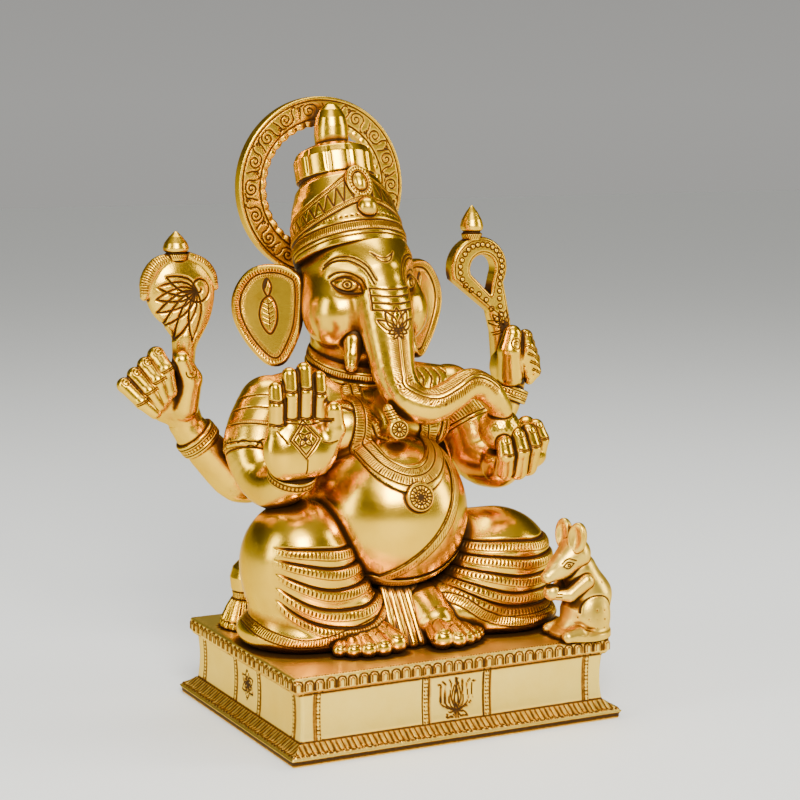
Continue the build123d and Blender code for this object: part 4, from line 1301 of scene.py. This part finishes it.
def fist(centre, side, wrist, radius, fingers, thumb):
    """A rear hand closed round its emblem's foot. Each finger is its base, knuckle, middle joint and tip."""
    def at(out, y, up):
        return (centre[0] + side * out, y, centre[2] + up)
    palm = egg(at(-1, 54, -4), (radius * 2.7, radius * 3.6, radius * 2.4))
    shape = join(4, palm, limb((*at(*wrist), 10.3), (*at(wrist[0] * 0.45, 55, -7), 12.4)))
    lines = []
    for number, joints_of_finger in enumerate(fingers):
        base, knuckle, middle, tip = [at(*place) for place in joints_of_finger]
        size = radius - 0.25 * number
        shape = join(1.0, shape, limb((*base, size + 0.8), (*knuckle, size), (*middle, size - 0.2),
                                      (*tip, size - 0.7), k=1.2))
        lines.append(drawn(middle, (0, -1, 0.1), (side * 0.5, 0, 1), [
            [(-4, 0.5), (4, 0.5)], [(-4, -0.6), (4, -0.6)]], 0.35, 0.35, 8))
        lines.append(drawn(knuckle, (0, -0.8, 0.5), (side * 0.5, 0, 1), [
            arc(0, 0, 2.4, 0, 360, 12), [(-1, 0), (1, 0)]], 0.3, 0.3, 7))
    low, high, end = [at(*place) for place in thumb]
    lines.append(drawn(high, (0, -1, 0.2), (side * 0.4, 0, 1), [
        arc(0, 4, 3.6, 0, 360, 14), curl(0, 4, 2.2, 0, 1)], 0.35, 0.35, 9))
    return join(1.2, shape, limb((*low, 9), (*high, 7.6), (*end, 6), k=1.5)), lines


RIGHT_FIST = [((2 + 4.5 * i, 55, 10 - 5.5 * i), (8 + 6.8 * i, 47, 20 - 5.6 * i),
               (5 + 5.2 * i, 38.5, 12 - 6.2 * i), (3 + 3.2 * i, 37.5, -1 - 4.2 * i)) for i in range(4)]
LEFT_FIST = [((2 + 1.2 * i, 52, 7 - 4.8 * i), (6 + 2.2 * i, 45, 14.5 - 5 * i),
              (4.5 + 2.0 * i, 39.5, 8 - 5.4 * i), (2 + 1.6 * i, 41, -1 - 4.2 * i)) for i in range(4)]
for name, centre, side, wrist, radius, fingers, thumb in (
        ("rear_right_hand", (-130, 55, 203), -1, (-14, 55, -24), 5.2, RIGHT_FIST,
         ((-9, 46, -12), (-11, 41, 5), (-5, 38, 17))),
        ("rear_left_hand", (112, 55, 207), 1, (0, 55, -16), 4.7, LEFT_FIST,
         ((-4, 47, -10), (-7, 43, 6), (-5, 43, 17)))):
    field, lines = fist(centre, side, wrist, radius, fingers, thumb)
    sculpt(name, field, [name], 0.6, lines, margin=8)

# ---------------------------------------------------------------- emblems
EMBLEM_Y = 57.0
EMBLEM_FACE = (0, -1, 0)
goad_outline = outline(loop((-114, 216), (-107, 230), (-100, 243), (-96.5, 257), (-98, 268), (-105, 276),
                            (-115, 280.5), (-125, 281), (-133, 277), (-139.5, 269), (-141, 261),
                            (-137, 249), (-129, 240), (-123, 230), (-122, 216)))
goad_plate = plate((0, EMBLEM_Y, 0), EMBLEM_FACE, (0, 0, 1), goad_outline,
                   lambda a, b, edge: 2.6 + 5.5 * np.sqrt(np.clip(-edge / 17, 0, 1)), 2.2)
goad_shank = limb((-117, 57, 206, 6.5), (-116, 57, 232, 7.5))
goad_wing = limb(*smooth_path([(-124, 56, 281, 3.0), (-134, 55, 277, 4.2), (-140, 55, 268, 4.4),
                               (-142, 55, 258, 2.6)], 10))
goad_other_wing = limb(*smooth_path([(-113, 56, 281.5, 2.6), (-104, 55, 277, 3.2), (-98.5, 55, 270, 3.2),
                                     (-96, 55, 262, 2.0)], 10))
feathers = [curl(9.5, 5.0, 9.5, 200, 1.4, 36)]
for angle, length in ((-66, 21), (-84, 25), (-101, 26), (-118, 28), (-136, 30), (-155, 33), (-174, 31)):
    feathers.append(petal(8.0, 4.0, length, 8.5, angle))
wing_hatch = [on(along(smooth_path(points, 12), 6), hatch(-4, 4, 1.6, 0, 0.35, 0.3)) for points in (
    [(-127, 50, 283), (-137, 50, 277), (-143, 50, 268), (-144, 50, 260)],
    [(-110, 50, 283), (-101, 50, 279), (-95, 50, 271), (-93.5, 50, 264)])]


def feather_relief(p, n):
    """Plumes that curl round one another, on the goad's front."""
    q = p - np.array((-118, EMBLEM_Y, 257))
    here = (q[:, 1] < 0) & (n[:, 1] < 0.1)
    a, b = q[:, 0], q[:, 2]
    from_edge = path_distance(a, b, feathers)
    near = np.exp(-(from_edge / 0.62) ** 2) * here
    zone = within(np.hypot(a / 19, (b + 6) / 26), -1, 1.0, 0.06) * here
    return zone * (0.9 * np.clip(from_edge / 1.5, 0, 1) - 0.2) - 0.5 * near * zone, near * zone


sculpt("goad_emblem", join(1.4, goad_plate, goad_shank, goad_wing, goad_other_wing), ["goad_emblem"], 0.6,
       [feather_relief, *wing_hatch], "ornament_brass", box=((-152, 44, 200), (-88, 70, 290)))


def finial(name, place, radius, height):
    """A small turned bud on a rope collar."""
    shape = lathe(place, (0, 0, 1), [(0.78 * radius, -1.5), (0.9 * radius, 0.1 * height),
                                     (0.66 * radius, 0.17 * height), (0.95 * radius, 0.26 * height),
                                     (1.0 * radius, 0.36 * height), (0.86 * radius, 0.55 * height),
                                     (0.5 * radius, 0.78 * height), (0.16 * radius, 0.94 * height),
                                     (0.02, height)], 0.4)
    sculpt(name, shape, [name], 0.5,
           [on(turning(place, (0, 0, 1), (0, -1, 0), radius), hatch(-1, 0.15 * height, 1.5, 0.5))],
           "ornament_brass")


finial("goad_finial", (-120.5, EMBLEM_Y, 281), 7.6, 15.5)

noose_outer = outline(np.vstack([arc(87.5, 267, 20.5, -28, 200, 34), [(99, 236), (101, 222), (111, 222),
    (111, 232)]]))
noose_eye = outline(np.vstack([arc(90, 266.5, 9.2, -24, 200, 24), [(95.5, 250)]]))


def noose_shape(a, b):
    return -soft_min(-noose_outer(a, b), noose_eye(a, b), 0.6)


NOOSE_MIDDLE = smooth_path([(104, EMBLEM_Y, 226), (92, EMBLEM_Y, 246), (77, EMBLEM_Y, 256),
                            (72.5, EMBLEM_Y, 268), (78, EMBLEM_Y, 279), (88, EMBLEM_Y, 282.5),
                            (98.5, EMBLEM_Y, 279), (103.5, EMBLEM_Y, 269), (102, EMBLEM_Y, 258),
                            (102, EMBLEM_Y, 244), (105, EMBLEM_Y, 228)], 60)
stud_points = NOOSE_MIDDLE[::2]


def noose_marks(p, n):
    """A row of studs round the loop, between its rims."""
    height, dark = np.zeros(len(p)), np.zeros(len(p))
    here = np.abs(n[:, 1]) > 0.35
    q = p[here]
    away = np.min([np.hypot(q[:, 0] - x, q[:, 2] - z) for x, y, z in stud_points], axis=0)
    near_rim = np.exp(-((noose_shape(q[:, 0], q[:, 2]) + 2.0) / 0.4) ** 2)
    height[here] = 0.7 * np.sqrt(np.clip(1 - (away / 1.35) ** 2, 0, 1)) - 0.3 * near_rim
    dark[here] = np.maximum(np.exp(-((away - 1.6) / 0.45) ** 2), 0.8 * near_rim)
    return height, dark


noose_plate = plate((0, EMBLEM_Y, 0), EMBLEM_FACE, (0, 0, 1), noose_shape, 6.0, 2.6)
noose_shank = limb((107, 57, 206, 7.4), (105.5, 57, 226, 7.6), (101, 57, 238, 6.4))
sculpt("noose_emblem", join(1.2, noose_plate, noose_shank), ["noose_emblem"], 0.6, [
    noose_marks, drawn((103, 50, 234), EMBLEM_FACE, (-0.3, 0, 1), [line + (0, -4) for line in lotus(9)]
                       + [[(-7, -8), (7, -8)], [(-7, -9.5), (7, -9.5)]], 0.4, 0.4, 10)], "ornament_brass",
    box=((60, 46, 200), (122, 68, 292)))
finial("noose_finial", (84, EMBLEM_Y, 287), 7.2, 20.5)

# ---------------------------------------------------------------- neck
collar_shape = lathe((MIDDLE_X, 34, 213), (0, -0.3, 0.95), [
    (27, -7), (31, -5.5), (32, -2), (30.4, 0.2), (31.5, 2.4), (31, 5.5), (27, 7)], 1.0)
sculpt("neck_collar", collar_shape, ["neck_collar"], 0.7, [
    on(turning((MIDDLE_X, 34, 213), (0, -0.3, 0.95), (0, -1, 0), 31), groove(0, 0.5, 0.7),
       groove(-4.6, 0.4, 0.5), groove(5, 0.4, 0.5), hatch(0.8, 4.4, 1.5), dots(-2.4, 1.9, 0.55, 0.4))],
       "ornament_brass", box=((-50, -4, 196), (30, 74, 232)))
pendant_shape = join(0.8, plate((-17, -36, 181), (-0.1, -0.96, 0.2), (0, 0, 1),
                                lambda a, b: np.hypot(a, b) - 6.2, 3.2, 1.4),
                     limb((-19, -35, 187, 3.6), (-21, -31, 193, 3.0)))
sculpt("throat_pendant", pendant_shape, ["throat_pendant"], 0.45, [
    drawn((-17, -38, 181), (-0.1, -0.96, 0.2), (0, 0, 1), [arc(0, 0, 4.6, 0, 360, 22), *[
        [(2 * math.cos(a), 2 * math.sin(a)), (4.2 * math.cos(a), 4.2 * math.sin(a))]
        for a in np.radians(range(0, 360, 30))],
        arc(0, 0, 1.4, 0, 360, 10)]),
    drawn((-20, -36, 190), (-0.1, -0.96, 0.2), (-0.2, 0, 1),
          [[(-4, y), (4, y)] for y in (-2.4, -0.6, 1.2, 3.0)], 0.35, 0.3)],
    "ornament_brass", margin=8)

# ---------------------------------------------------------------- mouse
MOUSE_Y = -68
mouse_shape = join(6, limb((97, MOUSE_Y, 62, 13), (98, MOUSE_Y, 75, 13.6), (91, MOUSE_Y, 91, 11), k=4),
                   limb((94, MOUSE_Y, 57, 16), (90, MOUSE_Y, 53, 13)))
haunches = [egg((96, MOUSE_Y + side * 10, 64), (11, 12, 6)) for side in (-1, 1)]
mouse_shape = join(2.5, mouse_shape, *haunches, limb((84, MOUSE_Y - 12, 54, 5), (76, MOUSE_Y - 13, 53, 4)),
                   limb((84, MOUSE_Y + 10, 54, 5), (76, MOUSE_Y + 10, 53, 4)))
base_shape = lathe((92, MOUSE_Y, SEAT_Z), (0, 0, 1), [(18.5, 0), (18.5, 3.4), (16, 5)], 0.8)
mouse_body_field = common(0.6, join(2, mouse_shape, base_shape), above(SEAT_Z))


def pits(p, n):
    """Small punched marks on the mouse's coat."""
    cells = p / 5.5
    offset = 0.28 * np.sin(np.floor(cells)[:, [1, 2, 0]] * 12.9 + 4.1)
    away = np.linalg.norm(cells - np.floor(cells) - 0.5 - offset, axis=1) * 5.5
    near = np.exp(-(away / 0.62) ** 2) * (p[:, 0] > 84)
    return -0.3 * near, 0.75 * near


sculpt("mouse_body", mouse_body_field, ["mouse_body"], 0.6, [
    pits, drawn((96, MOUSE_Y - 16, 66), (0, -1, 0), (0, 0, 1), [arc(0, 0, 11, 20, 175, 20)], 0.5, 0.5)],
       "mouse_brass", box=((66, -92, 48), (122, -44, 108)))
mouse_head_shape = limb((86, -70, 102, 10.5), (76, -71.5, 95, 7.6), (66.5, -72, 89.5, 4.2), k=2)
sculpt("mouse_head", mouse_head_shape, ["mouse_head"], 0.5, [
    drawn((77, -80, 97), (-0.3, -0.95, 0.1), (0, 0, 1), [
        curve((-3.6, -0.6), (-0.5, 2), (3.4, 1.2)), curve((-3.6, -0.6), (0, -1.8), (3.4, 1.2)),
        arc(0, 0.1, 0.8, 0, 360, 10), curve((-4.4, 1.2), (-0.5, 4), (4.6, 3))], 0.38, 0.4),
    drawn((77, -62, 97), (-0.3, 0.95, 0.1), (0, 0, 1), [
        curve((-3.4, 1.2), (-0.5, 2), (3.6, -0.6)), curve((-3.4, 1.2), (0, -1.8), (3.6, -0.6)),
        arc(0, 0.1, 0.8, 0, 360, 10)], 0.38, 0.4),
    drawn((68, -76, 87), (-0.3, -0.95, 0), (0, 0, 1), [curve((-4, -1), (1, 0), (7, -2))], 0.4, 0.4, 8)],
    "mouse_brass", box=((54, -86, 80), (102, -54, 118)))
for name, side in (("mouse_right_ear", -1), ("mouse_left_ear", 1)):
    root = (83.5, -70 + side * 7.5, 112)
    facing = (-0.88, -0.3 + side * 0.1, 0.1)
    shape = cut(1.2, plate(root, facing, (0, side * 0.12, 1),
                           lambda a, b: (np.hypot(a / 6.2, (b - 1) / 9.6) - 1) * 7.4, 2.4, 1.6),
                egg(np.array(root) + 3.4 * unit(facing) + (0, 0, 1), (3.9, 6.6, 2.6), facing))
    sculpt(name, shape, [name], 0.45, [], "mouse_brass", margin=8)
paws_shape = join(1.6, limb((90, -78, 86, 5), (80, -76, 78, 4.2), (73, -73, 78, 3.4), k=1),
                  limb((90, -58, 86, 5), (80, -61, 78, 4.2), (73, -66, 78, 3.4), k=1))
sculpt("mouse_paws", paws_shape, ["mouse_paws"], 0.5, [
    drawn((72, -74, 78), (-0.5, -0.85, 0), (0, 0, 1), [[(-3, 1), (3, 1)], [(-3, -1), (3, -1)]], 0.3, 0.3,
          5)], "mouse_brass",
    box=((62, -88, 68), (100, -50, 96)))
sculpt("mouse_sweet", ball((70.5, -70.5, 79.5), 5.2), ["mouse_sweet"], 0.45, [], "mouse_brass",
       box=((62, -80, 70), (80, -62, 88)))


# ---------------------------------------------------------------- plinth
def block(half_x, half_y, low, high, rounding, hollow=None):
    """A block centred on the axis. hollow, where given, bends its sides in by so much at each height."""
    def field(p):
        inset = hollow(p[:, 2]) if hollow else 0.0
        q = np.abs(np.stack([p[:, 0], p[:, 1], p[:, 2] - (low + high) / 2], 1))
        q = q - np.array((half_x, half_y, (high - low) / 2)) + rounding
        q[:, :2] += np.reshape(inset, (-1, 1))
        return np.linalg.norm(np.maximum(q, 0), axis=1) + np.minimum(q.max(1), 0) - rounding
    return field


def slope_block(half_x, half_y, low, high, inset):
    """A block whose four sides lean in by inset between two heights."""
    steep = math.hypot(inset, high - low) / (high - low)

    def field(p):
        lean = inset * (p[:, 2] - low) / (high - low)
        side = np.maximum(np.abs(p[:, 0]) - half_x, np.abs(p[:, 1]) - half_y) + lean
        return np.maximum.reduce([side / steep, low - 3 - p[:, 2], p[:, 2] - high])
    return field


SKIRT_X, SKIRT_Y = PLINTH_HIGH[0], PLINTH_HIGH[1]
DADO_X, DADO_Y = SKIRT_X - 8, SKIRT_Y - 7.5
CORNICE_X, CORNICE_Y = SKIRT_X - 3.9, SKIRT_Y - 6.0
SLOPE_LOW, SLOPE_HIGH, CORNICE_LOW = 7.1, 11.4, 41.2
plinth_solid = join(
    0.4, block(SKIRT_X, SKIRT_Y, 0, SLOPE_LOW, 1.0), slope_block(SKIRT_X - 1.2, SKIRT_Y - 1.2,
        SLOPE_LOW - 0.6, SLOPE_HIGH, 6.4),
    block(DADO_X, DADO_Y, 3, 46, 1.4, lambda z: 1.1 * (1 - ((z - 26) / 15) ** 2)),
    block(CORNICE_X, CORNICE_Y, CORNICE_LOW, PLINTH_HIGH[2], 1.6), block(CORNICE_X - 1.2, CORNICE_Y - 1.2,
        39.6, 46, 1.2))
plinth_field = cut(0.5, plinth_solid, block(DADO_X - 5, DADO_Y - 5, -10, 44, 1.5))
FRONT_BANDS, SIDE_BANDS = (-90, -20.5, 20.5, 90), (-68.5, -18, 18, 68.5)


def scallops(s, t, pitch=6.9):
    """A row of round-headed petals, each with a smaller one inside it."""
    phase = s / pitch
    cell = np.round(phase)
    a = (phase - cell) * pitch + 0.25 * np.sin(cell * 2.3)
    head = t - 4.3 + 0.25 * np.sin(cell * 1.7)
    radius = np.where(head > 0, np.hypot(a, head), np.abs(a))
    outer, inner = np.exp(-((radius - 2.75) / 0.55) ** 2), np.exp(-((radius - 1.35) / 0.4) ** 2)
    outer, inner = outer * (t > -0.4) * (t < 8), 0.7 * inner * (t > 1.2)
    dome = np.clip(1 - radius / 2.9, 0, 1)
    inside = within(t, -0.5, 7.4, 0.3)
    return (0.9 * np.sqrt(dome) - 0.7 * outer - 0.2 * inner) * inside, np.maximum(outer, inner) * inside


def plinth_marks(p, n):
    side = np.abs(n[:, 0]) > np.abs(n[:, 1])
    s = np.where(side, p[:, 1] * -np.sign(p[:, 0]), p[:, 0] * -np.sign(p[:, 1]))
    z = p[:, 2]
    outside = np.where(side, n[:, 0] * p[:, 0], n[:, 1] * p[:, 1]) > 0
    height, dark = np.zeros(len(p)), np.zeros(len(p))

    def add(here, made):
        height[here] += made[0]
        dark[here] = np.maximum(dark[here], made[1])
    low = outside & (z > 5.5) & (z < 12.5) & (n[:, 2] > -0.1)
    add(low, hatch(SLOPE_LOW - 0.6, SLOPE_HIGH, 3.4, 0.12, 0.62, 0.6)(s[low], z[low]))
    add(low, groove(SLOPE_HIGH + 0.2, 0.4, 0.4)(s[low], z[low]))
    ragged = z[low] + 0.35 * np.sin(s[low] * 1.3) + 0.25 * np.sin(s[low] * 3.1)
    add(low, groove(6.5, 0.35, 0.3)(s[low], ragged))
    dado = outside & (z > 11.2) & (z < CORNICE_LOW) & (np.abs(n[:, 2]) < 0.5)
    for bands, chosen in ((FRONT_BANDS, dado & ~side), (SIDE_BANDS, dado & side)):
        for band in bands:
            here = chosen & (np.abs(s - band) < 5)
            add(here, beads(band, 2.35, 1.1, 0.5)(z[here], s[here]))
            for edge in (-2.3, 2.3):
                add(here, groove(band + edge, 0.42, 0.45)(z[here], s[here]))
    add(dado, groove(CORNICE_LOW - 1.4, 0.45, 0.4)(s[dado], z[dado]))
    cornice = outside & (z >= CORNICE_LOW - 0.5) & (z < 49.2) & (n[:, 2] > -0.5) & (n[:, 2] < 0.8)
    add(cornice, scallops(s[cornice], z[cornice] - CORNICE_LOW - 0.3))
    top = n[:, 2] > 0.75
    inset = np.minimum(CORNICE_X - np.abs(p[:, 0]), CORNICE_Y - np.abs(p[:, 1]))
    along_edge = np.where(CORNICE_X - np.abs(p[:, 0]) < CORNICE_Y - np.abs(p[:, 1]), p[:, 1], p[:, 0])
    edge = top & (inset < 4) & (z > 48)
    add(edge, dots(2.4, 1.9, 0.5, 0.3)(along_edge[edge], inset[edge]))
    return height, dark


tall_lotus = []
for spread, lean in ((0, 0), (3.2, 0.9), (6.4, 1.9), (9.2, 3.2)):
    for way in (-1, 1):
        tall_lotus.append(curve((way * 0.6, -9), (way * (spread * 0.9 + 1.5), -4),
                                (way * (spread + 1.0), 2), (way * (spread + lean * 0.4), 7.5),
                                (way * (spread + lean + 0.6), 11.5 - 0.3 * spread)))
tall_lotus += [curve((0, -9), (-3, -2), (-2.4, 3.5), (0, 10.5)),
               curve((0, -9), (3, -2), (2.4, 3.5), (0, 10.5)), curve((0, -7), (-1.2, -1), (0, 5)),
               curve((0, -7), (1.2, -1), (0, 5)), petal(-1, -9.5, 6.5, 3.2, -112),
               petal(1, -9.5, 6.5, 3.2, 112), [(-0.8, -13), (-0.6, -9)], [(0.8, -13), (0.6, -9)]]
flower_lines = [petal(0, 0, 9, 5.5, angle) for angle in range(0, 360, 60)] + [
    petal(0, 0, 5.4, 2.6, angle) for angle in range(0, 360, 60)] + [arc(0, 0, 1.8, 0, 360, 14)]
panels = [
    drawn((0, -DADO_Y, 26), (0, -1, 0), (0, 0, 1), tall_lotus, 0.45, 0.45, 8),
    drawn((0, DADO_Y, 26), (0, 1, 0), (0, 0, 1),
                                                                                     tall_lotus, 0.45, 0.45,
          8),
    drawn((-DADO_X, 0, 26), (-1, 0, 0), (0, 0, 1), flower_lines, 0.45, 0.45, 8),
    drawn((DADO_X, 0, 26), (1, 0, 0), (0, 0, 1), flower_lines, 0.45, 0.45, 8)]
sculpt("plinth", plinth_field, ["plinth_casting"], 1.44, [plinth_marks, *panels], "plinth_brass", margin=4)

# ---------------------------------------------------------------- skin every piece
for piece in pieces:
    build(piece, materials)

# the studs, nuts, washers and screws keep their CAD shapes
for name in ("figure_studs", "figure_nuts", "figure_washers", "mouse_stud", "mouse_nut", "mouse_washer",
             "halo_screws"):
    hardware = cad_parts[name]
    hardware.data.materials.clear()
    hardware.data.materials.append(materials["fixing_steel"])


# ---------------------------------------------------------------- floor, light and camera
def plain(name, colour, roughness):
    """One plain paint."""
    material = bpy.data.materials.new(name)
    material.use_nodes = True
    shader = material.node_tree.nodes["Principled BSDF"]
    shader.inputs["Base Color"].default_value = (*colour, 1)
    shader.inputs["Roughness"].default_value = roughness
    return material


FLOOR_SIZE = 12.0
floor_mesh = bpy.data.meshes.new("floor")
half_floor = FLOOR_SIZE / 2
floor_mesh.from_pydata([(-half_floor, -half_floor, 0), (half_floor, -half_floor, 0),
                        (half_floor, half_floor, 0), (-half_floor, half_floor, 0)], [], [(0, 1, 2, 3)])
floor_mesh.materials.append(plain("floor_paint", (0.80, 0.83, 0.84), 0.55))
floor = bpy.data.objects.new("floor", floor_mesh)
bpy.context.scene.collection.objects.link(floor)


def softbox(name, place, target, size, power, colour):
    """A rectangular lamp turned to its target."""
    light = bpy.data.lights.new(name, "AREA")
    light.shape = "RECTANGLE"
    light.size, light.size_y = size
    light.energy = power
    light.color = colour
    lamp = bpy.data.objects.new(name, light)
    lamp.location = place
    lamp.rotation_euler = (Vector(target) - Vector(place)).to_track_quat("-Z", "Y").to_euler()
    bpy.context.scene.collection.objects.link(lamp)


FIGURE_MIDDLE = (0, 0, 0.18)
softbox("window_light", (-0.5, -1.5, 1.2), FIGURE_MIDDLE, (0.7, 0.7), 60, (1.0, 0.95, 0.84))
softbox("side_fill", (1.5, -0.7, 0.7), FIGURE_MIDDLE, (0.5, 1.2), 18, (1.0, 0.98, 0.95))
softbox("left_fill", (-1.6, -0.1, 0.7), FIGURE_MIDDLE, (0.4, 1.1), 12, (0.96, 0.98, 1.0))
softbox("top_light", (0.1, 0.3, 1.6), FIGURE_MIDDLE, (1.0, 0.6), 16, (1.0, 0.98, 0.95))
SUN_SPREAD, SUN_TILT, SUN_LEAN = math.radians(35), math.radians(38), math.radians(-22)
daylight = bpy.data.lights.new("daylight", "SUN")
daylight.energy = 1.3
daylight.angle = SUN_SPREAD
daylight.color = (1.0, 0.98, 0.94)
daylight_object = bpy.data.objects.new("daylight", daylight)
daylight_object.rotation_euler = (SUN_TILT, SUN_LEAN, 0)
bpy.context.scene.collection.objects.link(daylight_object)

world = bpy.data.worlds.new("studio")
bpy.context.scene.world = world
world.use_nodes = True
sky = world.node_tree.nodes
sky.clear()
place = sky.new("ShaderNodeTexCoord")
split = sky.new("ShaderNodeSeparateXYZ")
blend = sky.new("ShaderNodeValToRGB")
SKY = [(0.0, (0.60, 0.57, 0.52)), (0.5, (0.80, 0.79, 0.76)), (0.56, (0.66, 0.65, 0.62)),
       (0.62, (0.10, 0.095, 0.085)), (0.8, (0.16, 0.155, 0.14)), (0.93, (0.8, 0.77, 0.70))]
while len(blend.color_ramp.elements) < len(SKY):
    blend.color_ramp.elements.new(0.5)
for stop, (at, colour) in zip(blend.color_ramp.elements, SKY):
    stop.position = at
    stop.color = (*colour, 1)
shift = sky.new("ShaderNodeMath")
shift.operation = "MULTIPLY_ADD"
shift.inputs[1].default_value = 0.5
shift.inputs[2].default_value = 0.5
glow = sky.new("ShaderNodeBackground")
glow.inputs["Strength"].default_value = 0.5
sky_out = sky.new("ShaderNodeOutputWorld")
for start, end in ((place.outputs["Generated"], split.inputs[0]), (split.outputs["Z"], shift.inputs[0]),
                   (shift.outputs[0], blend.inputs[0]), (blend.outputs["Color"], glow.inputs["Color"]),
                   (glow.outputs[0], sky_out.inputs["Surface"])):
    world.node_tree.links.new(start, end)

# the camera's place, and its right, up and back directions
CAMERA_PLACE = (-0.57197, -1.13156, 0.37515)
CAMERA_RIGHT = (0.89155, -0.45293, 0.0)
CAMERA_UP = (0.06445, 0.12687, 0.98982)
CAMERA_BACK = (-0.44832, -0.88248, 0.14230)
camera = bpy.data.objects.new("camera", bpy.data.cameras.new("camera"))
camera.data.lens = 93.87
camera.data.sensor_width = 36.0
camera.data.clip_start = 0.05
turn = Matrix((CAMERA_RIGHT, CAMERA_UP, CAMERA_BACK)).transposed().to_4x4()
camera.matrix_world = Matrix.Translation(CAMERA_PLACE) @ turn
bpy.context.scene.collection.objects.link(camera)
bpy.context.scene.camera = camera
